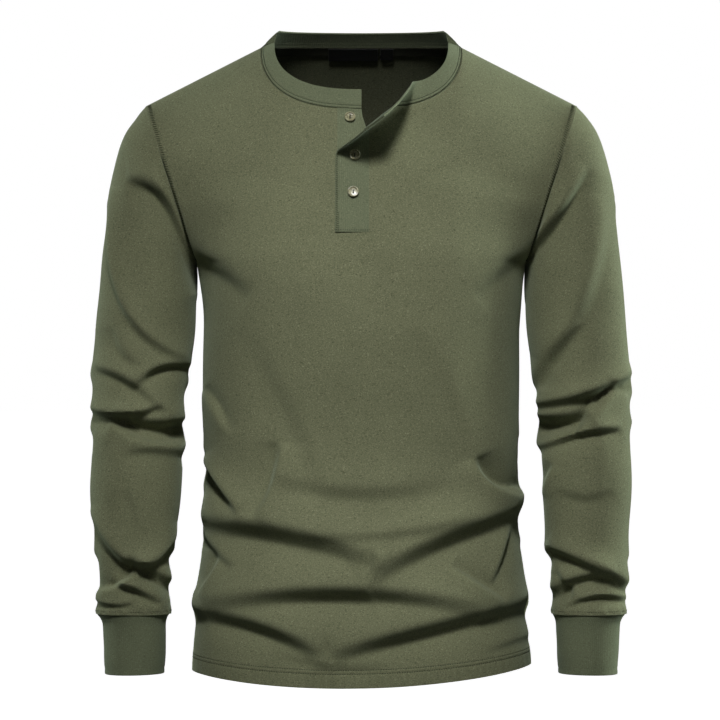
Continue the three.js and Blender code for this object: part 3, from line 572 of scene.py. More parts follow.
def mix_colour(tree, factor, a, b):
    node = new_node(tree, "ShaderNodeMix", data_type="RGBA")
    for name, value in (("Factor", factor), ("A", a), ("B", b)):
        target = next(s for s in node.inputs if s.name == name and s.enabled)
        if isinstance(value, tuple):
            target.default_value = value
        else:
            tree.links.new(value, target)
    return next(s for s in node.outputs if s.enabled)


# Painted shade: the cloth's inside face is drawn this much darker in colour, standing in for the shadow inside the
# shirt.
INSIDE_SHADE_TONE = 0.42


def melange_group():
    """Yarn of light and dark fibres: flecks, faint streaks along the courses and slow patches, with painted shade
    darkening the cloth's inside face.
    """
    tree, given, out = new_group("melange_yarn", "ShaderNodeTree", [
        ("Vector", "Vector"), ("Base", "Color", (0.18, 0.19, 0.1, 1)), ("Light", "Color", (0.3, 0.3, 0.18, 1)),
        ("Dark", "Color", (0.08, 0.08, 0.04, 1)), ("Flecks", "Float", 0.4), ("Fleck size", "Float", 900.0),
        ("Reverse", "Float", 0.0)], [("Color", "Color"), ("Height", "Float")])
    along = new_node(tree, "ShaderNodeVectorMath", {0: given["Vector"], 1: (520, 520, 1000)}, operation="MULTIPLY")
    fleck = noise(tree, given["Vector"], given["Fleck size"], 3, 0.65)
    streak = noise(tree, along.outputs[0], 1.0, 2, 0.6)
    patch = noise(tree, given["Vector"], 14, 3, 0.55)
    light = math_node(tree, "MULTIPLY", spread_range(tree, fleck, 0.52, 0.72, 0, 1), given["Flecks"])
    dark = math_node(tree, "MULTIPLY", spread_range(tree, streak, 0.46, 0.26, 0, 1), given["Flecks"])
    colour = mix_colour(tree, light, given["Base"], given["Light"])
    colour = mix_colour(tree, dark, colour, given["Dark"])
    # Slow random patches of tone, times painted shade on the cloth's inside face.
    tone = math_node(tree, "MULTIPLY", spread_range(tree, patch, 0.3, 0.7, 0.93, 1.06),
                     spread_range(tree, given["Reverse"], 0, 1, 1, INSIDE_SHADE_TONE))
    scaled = new_node(tree, "ShaderNodeVectorMath", {0: colour, "Scale": tone}, operation="SCALE")
    tree.links.new(scaled.outputs[0], out["Color"])
    tree.links.new(fleck, out["Height"])
    return tree


def knit_group():
    """Wales and courses of a fine knit along the cloth's own map, in loops per metre."""
    tree, given, out = new_group("fine_knit", "ShaderNodeTree", [
        ("Vector", "Vector"), ("Wales", "Float", 1100.0), ("Courses", "Float", 1500.0), ("Rib depth", "Float", 0.0)],
        [("Height", "Float")])
    split = new_node(tree, "ShaderNodeSeparateXYZ", {0: given["Vector"]}).outputs
    across = math_node(tree, "MULTIPLY", split["X"], given["Wales"])
    down = math_node(tree, "MULTIPLY", split["Y"], given["Courses"])
    wave = math_node(tree, "SINE", math_node(tree, "MULTIPLY", across, math.pi))
    ridge = math_node(tree, "ABSOLUTE", wave)
    slanted = math_node(tree, "ADD", down, math_node(tree, "MULTIPLY", ridge, 0.6))
    loop = math_node(tree, "SINE", math_node(tree, "MULTIPLY", slanted, 2 * math.pi))
    height = math_node(tree, "ADD", math_node(tree, "MULTIPLY", ridge, 0.6),
                       math_node(tree, "MULTIPLY", loop, 0.25))
    rib = math_node(tree, "MULTIPLY", wave, given["Rib depth"])
    tree.links.new(math_node(tree, "ADD", height, rib), out["Height"])
    return tree


MELANGE, KNIT = melange_group(), knit_group()


def new_material(name):
    material = bpy.data.materials.new(name)
    material.use_nodes = True
    return material, material.node_tree, material.node_tree.nodes["Principled BSDF"].inputs


def finish_surface(tree, shader, height, strength, distance, **values):
    """Gives a shader its fine relief, and its constants by name."""
    relief = new_node(tree, "ShaderNodeBump", {"Strength": strength, "Distance": distance, "Height": height})
    tree.links.new(relief.outputs["Normal"], shader["Normal"])
    for name, value in values.items():
        shader[name.replace("_", " ")].default_value = value


def cloth(name, base, light, dark, flecks, fleck_size, wales, courses, rib, bump, sheen, tint, rough):
    material, tree, shader = new_material(name)
    where = new_node(tree, "ShaderNodeTexCoord").outputs
    # The inside mask darkens the yarn colour as painted shade on the cloth's inside face.
    inside = new_node(tree, "ShaderNodeAttribute", attribute_name="inside").outputs["Fac"]
    yarn = new_node(tree, "ShaderNodeGroup", {
        "Vector": where["Object"], "Base": base, "Light": light, "Dark": dark, "Flecks": flecks,
        "Fleck size": fleck_size, "Reverse": inside}, node_tree=MELANGE).outputs
    knit = new_node(tree, "ShaderNodeGroup", {
        "Vector": where["UV"], "Wales": wales, "Courses": courses, "Rib depth": rib}, node_tree=KNIT).outputs
    tree.links.new(yarn["Color"], shader["Base Color"])
    height = math_node(tree, "ADD", math_node(tree, "MULTIPLY", yarn["Height"], 0.8), knit["Height"])
    finish_surface(tree, shader, height, bump, 0.0003, Roughness=rough, Specular_IOR_Level=0.25,
                   Sheen_Weight=sheen, Sheen_Roughness=0.45, Sheen_Tint=tint)
    return material


JERSEY_CLOTH = cloth("jersey_cloth", (0.165, 0.176, 0.098, 1), (0.34, 0.35, 0.215, 1), (0.06, 0.063, 0.032, 1),
                     0.85, 900.0, 1000.0, 1400.0, 0.0, 0.35, 0.32, (0.72, 0.86, 0.62, 1), 0.92)
RIB_CLOTH = cloth("rib_cloth", (0.154, 0.177, 0.102, 1), (0.30, 0.33, 0.21, 1), (0.07, 0.08, 0.042, 1),
                  0.6, 800.0, 900.0, 1300.0, 0.5, 0.4, 0.3, (0.7, 0.86, 0.66, 1), 0.9)
TAPE_CLOTH = cloth("tape_cloth", (0.06, 0.062, 0.036, 1), (0.1, 0.1, 0.06, 1), (0.03, 0.03, 0.015, 1),
                   0.4, 900.0, 1500.0, 1500.0, 0.3, 0.5, 0.2, (0.7, 0.8, 0.6, 1), 0.85)
LABEL_CLOTH = cloth("label_satin", (0.02, 0.02, 0.02, 1), (0.05, 0.05, 0.048, 1), (0.01, 0.01, 0.01, 1),
                    0.3, 1200.0, 3000.0, 2400.0, 0.1, 0.3, 0.15, (0.8, 0.8, 0.8, 1), 0.5)
THREAD = cloth("thread", (0.085, 0.095, 0.045, 1), (0.16, 0.17, 0.09, 1), (0.04, 0.045, 0.02, 1),
               0.4, 2500.0, 3000.0, 3000.0, 0.0, 0.3, 0.25, (0.7, 0.8, 0.6, 1), 0.8)
DARK_THREAD = cloth("dark_thread", (0.035, 0.04, 0.018, 1), (0.07, 0.075, 0.04, 1), (0.02, 0.02, 0.01, 1),
                    0.4, 2500.0, 3000.0, 3000.0, 0.0, 0.3, 0.2, (0.7, 0.8, 0.6, 1), 0.85)


def horn_material():
    """Pale horn-like plastic: cloudy and satin."""
    material, tree, shader = new_material("horn_plastic")
    where = new_node(tree, "ShaderNodeTexCoord").outputs["Object"]
    cloud = noise(tree, where, 260, 4, 0.6, 1.4)
    shade = spread_range(tree, cloud, 0.35, 0.68, 0, 1)
    colour = mix_colour(tree, shade, (0.12, 0.11, 0.05, 1), (0.44, 0.42, 0.24, 1))
    tree.links.new(colour, shader["Base Color"])
    tree.links.new(spread_range(tree, cloud, 0.3, 0.7, 0.42, 0.28), shader["Roughness"])
    finish_surface(tree, shader, cloud, 0.15, 0.0002, Coat_Weight=0.5, Coat_Roughness=0.12)
    return material


HORN = horn_material()


# Body front and back

def fine(stops, step):
    """The stops with even points between them, none further apart than step."""
    made = [stops[0]]
    for low, high in zip(stops, stops[1:]):
        parts = max(1, math.ceil(abs(high - low) / step))
        made += [low + (high - low) * k / parts for k in range(1, parts + 1)]
    return np.array(made)


NOTCH_LEVEL = (NOTCH_BOTTOM - PIT[1]) / (NECK_DEEPEST["front"] - PIT[1])
HEM_DEPTH = 675 + PIT[1]
STITCH_LOW, STITCH_HIGH, GROOVE_HALF = 14.5, 18.5, 0.8
shoulder_x = fine([NECK_HALF, 140, 200, 222, 230], 3.2)[1:]
edge_x = fine([-108, -107.5, -105.5, -101, -93, -60, NOTCH_LEFT], 2.4)
inner_x = fine([NOTCH_RIGHT, 93, 101, 105.5, 107.5, 108], 2.2)
notch_x = fine([NOTCH_LEFT, NOTCH_RIGHT], 2.4)[1:-1]
FRONT_X = np.concatenate([-shoulder_x[::-1], edge_x, notch_x, inner_x, shoulder_x])
BACK_X = np.concatenate([-shoulder_x[::-1], fine([-108, 108], 3.0), shoulder_x])
ARM_FRONT = fine([1, 0.985, 0.9, 0.3, NOTCH_LEVEL, 0.04, 0], 0.014)
ARM_BACK = fine([1, 0.985, 0.9, 0.04, 0], 0.018)
BODY = fine([0, 0.4, 0.955, 1.0], 0.0062)[1:]
HEM_ROWS = 1 - np.array([row + side * GROOVE_HALF for row in (STITCH_LOW, STITCH_HIGH) for side in (-1, 0, 1)]
                        + [1.2]) / HEM_DEPTH
BODY = np.unique(np.concatenate([BODY, HEM_ROWS]))


HEM_THICK, HEM_PUCKER = 0.45, 0.28


def bulge(value, middle, width):
    return np.exp(-((value - middle) / width) ** 2)


def hem_relief(across, level):
    """The turned-up hem is a little thicker, with grooves at its two rows of stitches and small puckers."""
    up = (1 + level) * HEM_DEPTH
    thick = HEM_THICK * (1 - ramp(up, STITCH_HIGH, STITCH_HIGH + 3))
    groove = sum(bulge(up, row, GROOVE_HALF) for row in (STITCH_LOW, STITCH_HIGH))
    pucker = HEM_PUCKER * np.sin(across * 150 + 1.5 * np.sin(across * 31)) * bulge(up, 8, 9)
    return np.where(level < -0.5, thick - HEM_THICK * groove + pucker, 0)


def seam_relief(across, level, face):
    """A shallow groove along the armhole seam and a soft ridge of the seam allowance beside it."""
    beside = (1 - np.abs(across)) * SHOULDER[0]
    ridge = 0.55 * bulge(beside, 4.5, 3) - 0.9 * bulge(beside, 0, 1.4)
    arm = np.where(level >= 0, ridge * ramp(level, 0, 0.06) * (1 - ramp(level, 0.97, 1)), 0)
    below = (1 - level) * (NECK_DEEPEST[face] - PIT[1])
    neck = 0.35 * bulge(below, 4, 2.5) - 0.8 * bulge(below, 0, 1.3)
    return arm + np.where(np.abs(across) * SHOULDER[0] < NECK_HALF, neck, 0)


def body_point(face, across, level, lift=0.0):
    across, level = same_shape(across, level)
    return torso_point(face, across, level, lift + hem_relief(across, level) + seam_relief(across, level, face))


def armhole_normal(side, face, level):
    middle = vec(side * (PIT[0] + SHOULDER[0]) / 2, SEAM_Y, (PIT[1] + SHOULDER[1]) / 2)
    depth = ARMHOLE[face] if isinstance(face, str) else face
    point = vec(side * blend(PIT[0], SHOULDER[0], level),
                SEAM_Y + depth * 2 * np.sqrt(np.clip(level * (1 - level), 0, 1)), blend(PIT[1], SHOULDER[1], level))
    half = math.hypot(SHOULDER[0] - PIT[0], SHOULDER[1] - PIT[1]) / 2
    out = point - middle
    return unit(out / vec(half ** 2, np.asarray(depth) ** 2, half ** 2))


def panel(name, face, xs, arm_levels):
    levels = np.concatenate([arm_levels, -BODY])
    across = xs / SHOULDER[0]
    across[0], across[-1] = -1, 1
    points, normal = body_point(face, across[None, :], levels[:, None])
    away = vec(0, -GAP / 2 if face == "front" else GAP / 2, 0)
    shoulder = np.abs(xs) >= NECK_HALF - 1e-6
    points[0, shoulder] += away
    points[np.ix_(levels <= 0, [0, -1])] += away
    fixed = np.full(points.shape, np.nan)
    for side, j in ((-1, 0), (1, -1)):
        fixed[levels >= 0, j] = armhole_normal(side, face, levels[levels >= 0])
        own = grid_normals(points, False, face == "back")[:, j]
        own[:, 1] = 0
        fixed[levels < 0, j] = own[levels < 0]
    fixed[0, shoulder] = np.stack([np.sign(xs[shoulder]) * 0.42, 0 * xs[shoulder], 1 + 0 * xs[shoulder]], -1)
    fixed[0, 0], fixed[0, -1] = armhole_normal(-1, face, 1.0), armhole_normal(1, face, 1.0)
    fixed[0, ~shoulder] = normal[0, ~shoulder]
    if face == "back":
        return shell(name, points, JERSEY, JERSEY_CLOTH, flip=True, normals=fixed, rounding=0.12)
    left = int(np.argmin(np.abs(xs - NOTCH_LEFT)))
    right = int(np.argmin(np.abs(xs - NOTCH_RIGHT)))
    notch_row = int(np.argmin(np.abs(levels - NOTCH_LEVEL)))
    skip = np.zeros((len(levels) - 1, len(xs) - 1), bool)
    skip[:notch_row, left:right] = True
    rolling = (np.arange(len(xs)) >= right) & (xs < NECK_HALF - 1e-6)

    def rolled(grid):
        made = grid.copy()
        made[:, rolling] = roll_open(grid[:, rolling])
        return made

    return shell(name, points, JERSEY, JERSEY_CLOTH, skip=skip, normals=fixed, shape=rolled, rounding=0.12)


# Placket straps

def upper_lift(x):
    return UPPER_LIFT * (NOTCH_RIGHT - x) / (NOTCH_RIGHT - UPPER_EDGE)


def under_lift(x):
    return -UNDER_DROP * (x - NOTCH_LEFT) / (UNDER_EDGE - NOTCH_LEFT)


def under_edge(level):
    return blend(UNDER_EDGE, UNDER_END, ramp(level, 0.8, 1))


STRAP_LEVELS = ARM_FRONT[ARM_FRONT >= NOTCH_LEVEL - 1e-9]


def strap(name, start, end, lift, shape=None):
    share = np.linspace(0, 1, 25)[None, :]
    level = STRAP_LEVELS[:, None]
    x = blend(start, end(level), share)
    points, normal = torso_point("front", x / SHOULDER[0], level, lift(x))
    points[-1] += vec(0, 0, GAP)
    fixed = np.full(points.shape, np.nan)
    fixed[0] = normal[0]
    return shell(name, points, JERSEY, RIB_CLOTH, normals=fixed, shape=shape, rounding=0.3)


# Neckband

def neck_ring():
    """The columns of the band: face, x and lift, from the under end round the back to the turned-open end."""
    front_left = FRONT_X[(FRONT_X >= -NECK_HALF) & (FRONT_X <= NOTCH_LEFT)][::-1]
    back = BACK_X[np.abs(BACK_X) < NECK_HALF - 1e-6]
    front_right = FRONT_X[(FRONT_X >= NOTCH_RIGHT) & (FRONT_X <= NECK_HALF)][::-1]
    under = np.linspace(UNDER_END, NOTCH_LEFT, 12)[:-1]
    upper = np.linspace(NOTCH_RIGHT, UPPER_EDGE, 16)[1:]
    x = np.concatenate([under, front_left, back, front_right, upper])
    is_back = np.concatenate([np.zeros(len(under) + len(front_left), bool), np.ones(len(back), bool),
                              np.zeros(len(front_right) + len(upper), bool)])
    lift = np.zeros(len(x))
    lift[:len(under)] = under_lift(under)
    lift[-len(upper):] = upper_lift(upper)
    right = int(np.argmin(np.where(is_back, 999, np.abs(x - NECK_HALF))))
    return x, is_back, lift, right


def band_point(x, is_back, lift, rise):
    share = x / NECK_HALF
    front, front_normal = torso_point("front", x / SHOULDER[0], 1.0, lift)
    back, back_normal = torso_point("back", x / SHOULDER[0], 1.0, lift)
    seam = np.where(is_back[:, None], back, front)
    normal = np.where(is_back[:, None], back_normal, front_normal)
    round_ = swell(share, NECK_ROUND, NECK_SQUARE)
    rear = blend(BAND_SIDE, BAND_REAR, ramp(round_, 0, 0.45))
    high = np.where(is_back, blend(rear, BAND_BACK, round_ ** 4), blend(BAND_SIDE, BAND_FRONT, round_))
    target = vec(x * BAND_HALF / NECK_HALF, SEAM_Y + (seam[:, 1] - SEAM_Y) * BAND_TAPER, high)
    away = unit(target - seam)
    start = seam + away * (GAP * (1 + np.abs(share) ** 10))[:, None]
    return blend(start, target, np.asarray(rise)[..., None, None]), normal


BAND_FOOT, BAND_STITCH = 0.03, 0.17


def band_grid():
    x, is_back, lift, _ = neck_ring()
    rises = np.unique(np.concatenate([np.linspace(0, 1, 15), [BAND_FOOT, BAND_STITCH - 0.04, BAND_STITCH,
                                                              BAND_STITCH + 0.04, 0.94, 0.97]]))
    points, normal = band_point(x, is_back, lift, rises)
    groove = bulge(rises, BAND_STITCH, 0.035) + bulge(rises, 0, 0.05)
    roll = 0.6 * np.sin(np.pi * np.clip(rises, 0, 1)) ** 0.5 - 0.5 * groove
    points = points + grid_normals(points, False, False) * roll[:, None, None]
    return points, normal, rises, x


def neckband():
    points, normal, _, x = band_grid()
    fixed = np.full(points.shape, np.nan)
    side = np.abs(x) >= NECK_HALF - 1e-6
    fixed[0] = normal
    fixed[0, side] = np.stack([np.sign(x[side]) * 0.42, 0 * x[side], 1 + 0 * x[side]], -1)
    return shell("shirt_neckband", points, DOUBLE, RIB_CLOTH, normals=fixed, shape=band_roll, rounding=0.08)


def band_roll(grid):
    x, _, _, right = neck_ring()
    rolling = (np.arange(len(x)) > right) & (x < 80)
    made = grid.copy()
    made[..., rolling, :] = roll_open(grid[..., rolling, :])
    return made


# Tape and labels inside the back neck

TAPE_DEPTH = JERSEY + 0.5
LABEL_DEPTH = TAPE_DEPTH + TAPE + 0.7


def neck_patch(name, start, end, drop, depth, material, bow=0.0):
    xs = fine([start, end], 1.5)
    levels = 1 - np.linspace(0, 1, 12) * drop / (NECK_DEEPEST["back"] - PIT[1])
    points, _ = torso_point("back", xs[None, :] / SHOULDER[0], levels[:, None], -depth)
    fall = np.linspace(0, 1, 12)[:, None]
    points[..., 1] -= bow * fall * (1 + 0.5 * np.sin(xs * 0.21)[None, :])
    return shell(name, points, TAPE, material, flip=True, rounding=0.2)


# Sleeves and cuffs

CUFF_DROPS = (0, 5, 13, 37, 62.5)
SECTION_AT_ARMHOLE = 14


def tube(name, table, side, thickness, material, sections, sides):
    """A sleeve or a cuff: gathered to the cuff and ridged at the armhole, or swelled between its seams."""
    turns = 2 * np.pi * np.arange(sides) / sides
    lift = np.zeros((len(sections), sides))
    if table is CUFF:
        drop = np.interp(sections, np.arange(len(table)), CUFF_DROPS)
        swelling = 0.5 * np.sin(np.pi * np.clip(drop / CUFF_DROPS[-1], 0, 1)) - 0.35 * bulge(drop, 57, 1.2)
        lift = lift + swelling[:, None]
    else:
        gather = bulge(sections, len(table) - 1, 0.16)
        ripple = 0.75 * np.sin(23 * turns + side) + 0.6 * np.sin(13 * turns + 2 * side)
        lift = lift + gather[:, None] * ripple[None, :] * (1 - ramp(sections, 10.9, 11))[:, None]
        beside = sections * SECTION_AT_ARMHOLE
        lift = lift + (0.5 * bulge(beside, 4.5, 3) * (1 - bulge(beside, 0, 1.5)))[:, None]
    points, _ = sleeve_point(table, side, sections[:, None], turns[None, :], lift)
    fixed = np.full(points.shape, np.nan)
    if table is SLEEVE:
        half = math.hypot(SHOULDER[0] - PIT[0], SHOULDER[1] - PIT[1])
        points[0] += vec(side * (SHOULDER[1] - PIT[1]), 0, PIT[0] - SHOULDER[0]) * GAP / half
        depth = np.where(np.sin(turns) > 0, ARMHOLE["front"], ARMHOLE["back"])
        fixed[0] = armhole_normal(side, depth, (1 - np.cos(turns)) / 2)
    own = grid_normals(points, True, side < 0)
    for row in ((-1,) if table is SLEEVE else (0, -1)):
        flat = own[row].copy()
        flat[:, 2] = 0
        fixed[row] = flat
    return shell(name, points, thickness, material, closed=True, flip=side < 0, normals=fixed,
                 rounding=0.12 if table is SLEEVE else 0.3)


# Stitches, made by one geometry node tree

def stitch_tree():
    tree, given, out = new_group("stitches", "GeometryNodeTree", [
        ("Geometry", "Geometry"), ("Pitch", "Float", 0.003), ("Length", "Float", 0.0022),
        ("Width", "Float", 0.0006), ("Turn", "Float", 0.0), ("Thread", "Material")], [("Geometry", "Geometry")])

    def made(kind, plugs=(), **settings):
        return new_node(tree, kind, plugs, **settings).outputs[0]

    curve = made("GeometryNodeMeshToCurve", {"Mesh": given["Geometry"]})
    evenly = made("GeometryNodeResampleCurve", {"Curve": curve, "Length": given["Pitch"]}, mode="LENGTH")
    ball = made("GeometryNodeMeshUVSphere", {"Segments": 6, "Rings": 4, "Radius": 0.5})
    size = made("ShaderNodeCombineXYZ", {"X": given["Length"], "Y": given["Width"], "Z": given["Width"]})
    shape = made("GeometryNodeTransform", {"Geometry": ball, "Scale": size})
    normal = made("GeometryNodeInputNamedAttribute", {"Name": "out"}, data_type="FLOAT_VECTOR")
    along = made("FunctionNodeAlignRotationToVector", {"Vector": made("GeometryNodeInputTangent")}, axis="X")
    up = made("FunctionNodeAlignRotationToVector", {"Rotation": along, "Vector": normal}, axis="Z", pivot_axis="X")
    angle = made("FunctionNodeAxisAngleToRotation", {"Axis": (0, 0, 1), "Angle": given["Turn"]})
    turned = made("FunctionNodeRotateRotation", {"Rotation": up, "Rotate By": angle}, rotation_space="LOCAL")
    spots = made("GeometryNodeInstanceOnPoints", {"Points": evenly, "Instance": shape, "Rotation": turned})
    real = made("GeometryNodeRealizeInstances", {"Geometry": spots})
    paint = made("GeometryNodeSetMaterial", {"Geometry": real, "Material": given["Thread"]})
    tree.links.new(paint, out["Geometry"])
    return tree


STITCHES = stitch_tree()


def stitched(name, runs, pitch, length, width, turn=0.0, thread=DARK_THREAD):
    """Stitches along runs of points with their normals, as one plain mesh."""
    corners, normals, edges = [], [], []
    for points, outs in runs:
        first = len(corners)
        corners += (points * MM).tolist()
        normals += outs.tolist()
        edges += [(first + k, first + k + 1) for k in range(len(points) - 1)]
    mesh = bpy.data.meshes.new(name + "_path")
    mesh.from_pydata(corners, edges, [])
    attribute = mesh.attributes.new("out", "FLOAT_VECTOR", "POINT")
    attribute.data.foreach_set("vector", np.array(normals, np.float32).ravel())
    path = bpy.data.objects.new(name + "_path", mesh)
    bpy.context.scene.collection.objects.link(path)
    modifier = path.modifiers.new("stitches", "NODES")
    modifier.node_group = STITCHES
    values = {"Pitch": pitch * MM, "Length": length * MM, "Width": width * MM, "Turn": turn, "Thread": thread}
    for item in STITCHES.interface.items_tree:
        if item.item_type == "SOCKET" and item.in_out == "INPUT" and item.name in values:
            modifier[item.identifier] = values[item.name]
    graph = bpy.context.evaluated_depsgraph_get()
    made = bpy.data.meshes.new_from_object(path.evaluated_get(graph))
    path.modifiers.remove(modifier)
    bpy.data.objects.remove(path)
    made.name = name
    made.shade_smooth()
    obj = bpy.data.objects.new(name, made)
    bpy.context.scene.collection.objects.link(obj)
    return obj


ON_CLOTH, ON_STRAP = 0.15, 0.12


def surface_run(form, a, b, way, lift):
    """Points and normals along a line on a surface given by two shares."""
    a, b = same_shape(a, b)
    points = form(a, b)[0]
    normal = unit(np.cross(form(a + 0.002, b)[0] - points, form(a, b + 0.002)[0] - points)) * way
    return points + normal * lift, normal


def torso_run(face, across, level):
    return surface_run(lambda a, b: body_point(face, a, b), across, level, -1 if face == "back" else 1, ON_CLOTH)


def rolled_run(points, normals):
    tips = roll_open(points + normals)
    points = roll_open(points)
    return points, unit(tips - points)


# Pieces

front = panel("shirt_front", "front", FRONT_X, ARM_FRONT)
back = panel("shirt_back", "back", BACK_X, ARM_BACK)
SLEEVE_SECTIONS = fine([0, 0.3, 4, 10.6, 11], 0.05)
CUFF_SECTIONS = fine([0, 1, 2, 3, 3.9, 4], 0.1)
sleeves = {side: tube("shirt_sleeve_" + word, SLEEVE, side, JERSEY, JERSEY_CLOTH, SLEEVE_SECTIONS, 96)
           for side, word in ((-1, "right"), (1, "left"))}
cuffs = {side: tube("shirt_cuff_" + word, CUFF, side, DOUBLE, RIB_CLOTH, CUFF_SECTIONS, 96)
         for side, word in ((-1, "right"), (1, "left"))}
band = neckband()
under = strap("shirt_placket_under", NOTCH_LEFT + GAP, under_edge, under_lift)
upper = strap("shirt_placket_upper", UPPER_EDGE, lambda level: NOTCH_RIGHT - GAP + 0 * level, upper_lift,
              shape=roll_open)
tape = neck_patch("shirt_neck_tape", -92, 92, 8, TAPE_DEPTH, TAPE_CLOTH)
label = neck_patch("shirt_neck_label", -36, 18, 12, LABEL_DEPTH, LABEL_CLOTH)
tab = neck_patch("shirt_size_tab", 21.5, 35, 11, LABEL_DEPTH, LABEL_CLOTH)

# Stitch lines

def both_faces(name, run, *sizes):
    """The same lines of stitches on the body's front and back."""
    return [stitched(f"stitches_{name}_{face}", run(face), *sizes) for face in ("front", "back")]


along = np.linspace(-0.992, 0.992, 500)
climbing = np.linspace(0.012, 0.985, 160)
BESIDE_SEAM = 1 - 3.2 / SHOULDER[0]
hem_front, hem_back = both_faces(
    "hem", lambda face: [torso_run(face, along, row / HEM_DEPTH - 1) for row in (STITCH_LOW, STITCH_HIGH)],
    2.6, 2.3, 0.75)
arm_front, arm_back = both_faces(
    "armhole", lambda face: [torso_run(face, side * BESIDE_SEAM, climbing) for side in (-1, 1)], 2.7, 5.2, 0.85, 1.2)


def band_runs():
    points, _, rises, _ = band_grid()
    normals = grid_normals(points, False, False)
    for rise in (BAND_FOOT, BAND_STITCH):
        row = int(np.argmin(np.abs(rises - rise)))
        made = band_roll(points[row])
        out = unit(band_roll(points[row] + normals[row]) - made)
        yield made + out * ON_CLOTH, out


band_stitches = stitched("stitches_neckband", band_runs(), 1.7, 1.9, 0.75)


edge_x = UPPER_EDGE + 1.6
edge_run = rolled_run(*torso_point("front", edge_x / SHOULDER[0], STRAP_LEVELS[1:-1], upper_lift(edge_x) + ON_STRAP))
edge_stitches = stitched("stitches_placket_edge", [edge_run], 2.3, 3.7, 0.75, 1.1)
bottom_x = np.linspace(UPPER_EDGE + 1, NOTCH_RIGHT - 1.5, 40)
bottom_run = chest_at(bottom_x, np.full(40, NOTCH_BOTTOM + 2.2), upper_lift(bottom_x) + ON_STRAP)
side_x, side_z = UPPER_EDGE + 3.4, np.linspace(NOTCH_BOTTOM + 2, NOTCH_BOTTOM + 20, 14)
side_run = chest_at(np.full(14, side_x), side_z, upper_lift(side_x) + ON_STRAP)
bottom_stitches = stitched("stitches_placket_bottom", [bottom_run, side_run], 2.2, 2.0, 0.6)
under_level = STRAP_LEVELS[STRAP_LEVELS > 0.55][1:]
under_x = under_edge(under_level) - 2.6
under_run = torso_point("front", under_x / SHOULDER[0], under_level, under_lift(under_x) + ON_STRAP)
under_stitches = stitched("stitches_placket_under", [under_run], 2.6, 2.0, 0.45, thread=THREAD)
round_turn = np.linspace(0, 2 * np.pi, 200)
cuff_runs = [surface_run(lambda a, b: sleeve_point(SLEEVE, side, a, b), 10.9, round_turn, side, 0.1)
             for side in (-1, 1)]
cuff_stitches = stitched("stitches_cuff_seams", cuff_runs, 2.4, 2.1, 0.6)


# Buttons

BUTTON_RADIUS, BUTTON_RIM, BUTTON_DISH, BUTTON_RIM_WIDTH = 5.8, 2.7, 1.7, 1.3
BUTTON_HOLE, BUTTON_SPREAD, BUTTON_SEAT, BUTTON_SIDES = 0.85, 1.5, 0.55, 48
BUTTON_PLACES = {"button_top": (-12, -81), "button_middle": (-7, -122), "button_bottom": (-8.5, -160.5)}


def button_mesh():
    """A turned disc with a raised rim and a dished middle, not yet drilled."""
    rim, radius = BUTTON_RIM, BUTTON_RADIUS
    inner = radius - BUTTON_RIM_WIDTH
    profile = [(0, 0), (radius - 0.9, 0), (radius - 0.35, 0.12), (radius - 0.05, 0.55), (radius, 1.1),
               (radius, rim - 0.7), (radius - 0.12, rim - 0.28), (radius - 0.42, rim - 0.04), (radius - 0.75, rim),
               (inner + 0.15, rim - 0.1), (inner - 0.2, rim - 0.4), (inner - 0.5, BUTTON_DISH + 0.12),
               (inner - 1.0, BUTTON_DISH), (0, BUTTON_DISH)]
    sides = BUTTON_SIDES
    corners, faces = [(0, 0, profile[0][1])], []
    for r, y in profile[1:-1]:
        corners += [(r * math.cos(2 * math.pi * k / sides), r * math.sin(2 * math.pi * k / sides), y)
                    for k in range(sides)]
    corners.append((0, 0, profile[-1][1]))
    rings = len(profile) - 2
    for k in range(sides):
        n = (k + 1) % sides
        faces.append((0, 1 + n, 1 + k))
        for r in range(rings - 1):
            a, b = 1 + r * sides, 1 + (r + 1) * sides
            faces.append((a + k, a + n, b + n, b + k))
        top = 1 + (rings - 1) * sides
        faces.append((top + k, top + n, len(corners) - 1))
    return np.array(corners, float), faces


def drilled(name):
    corners, faces = button_mesh()
    disc = mesh_piece(name, corners, faces, HORN, sharp=0.7)
    for side in (-1, 1):
        bpy.ops.mesh.primitive_cylinder_add(vertices=20, radius=BUTTON_HOLE * MM, depth=0.012,
                                            location=(0, side * BUTTON_SPREAD * MM, 0))
        drill = bpy.context.object
        cut = disc.modifiers.new("hole", "BOOLEAN")
        cut.operation, cut.solver, cut.object = "DIFFERENCE", "EXACT", drill
        graph = bpy.context.evaluated_depsgraph_get()
        made = bpy.data.meshes.new_from_object(disc.evaluated_get(graph))
        disc.modifiers.remove(cut)
        disc.data = made
        bpy.data.objects.remove(drill)
    disc.data.materials.clear()
    disc.data.materials.append(HORN)
    disc.data.shade_smooth()
    disc.data.set_sharp_from_angle(angle=0.7)
    return disc


def button_frame(name):
    x, z = BUTTON_PLACES[name]
    lift = under_lift if name == "button_top" else upper_lift

    def on(dx, dz):
        return chest_at(x + dx, z + dz, lift(x + dx))[0]

    middle, across = on(0, 0), on(2, 0) - on(-2, 0)
    normal = unit(np.cross(on(0, -2) - on(0, 2), across))
    across = unit(across)
    return middle, across, normal, np.cross(across, normal)


def place(obj, spot, seat):
    middle, across, normal, up = spot
    co = np.empty(len(obj.data.vertices) * 3)
    obj.data.vertices.foreach_get("co", co)
    co = co.reshape(-1, 3)
    world = (middle + normal * seat) * MM + co[:, [0]] * across + co[:, [1]] * up + co[:, [2]] * normal
    obj.data.vertices.foreach_set("co", world.ravel())
    obj.data.update()


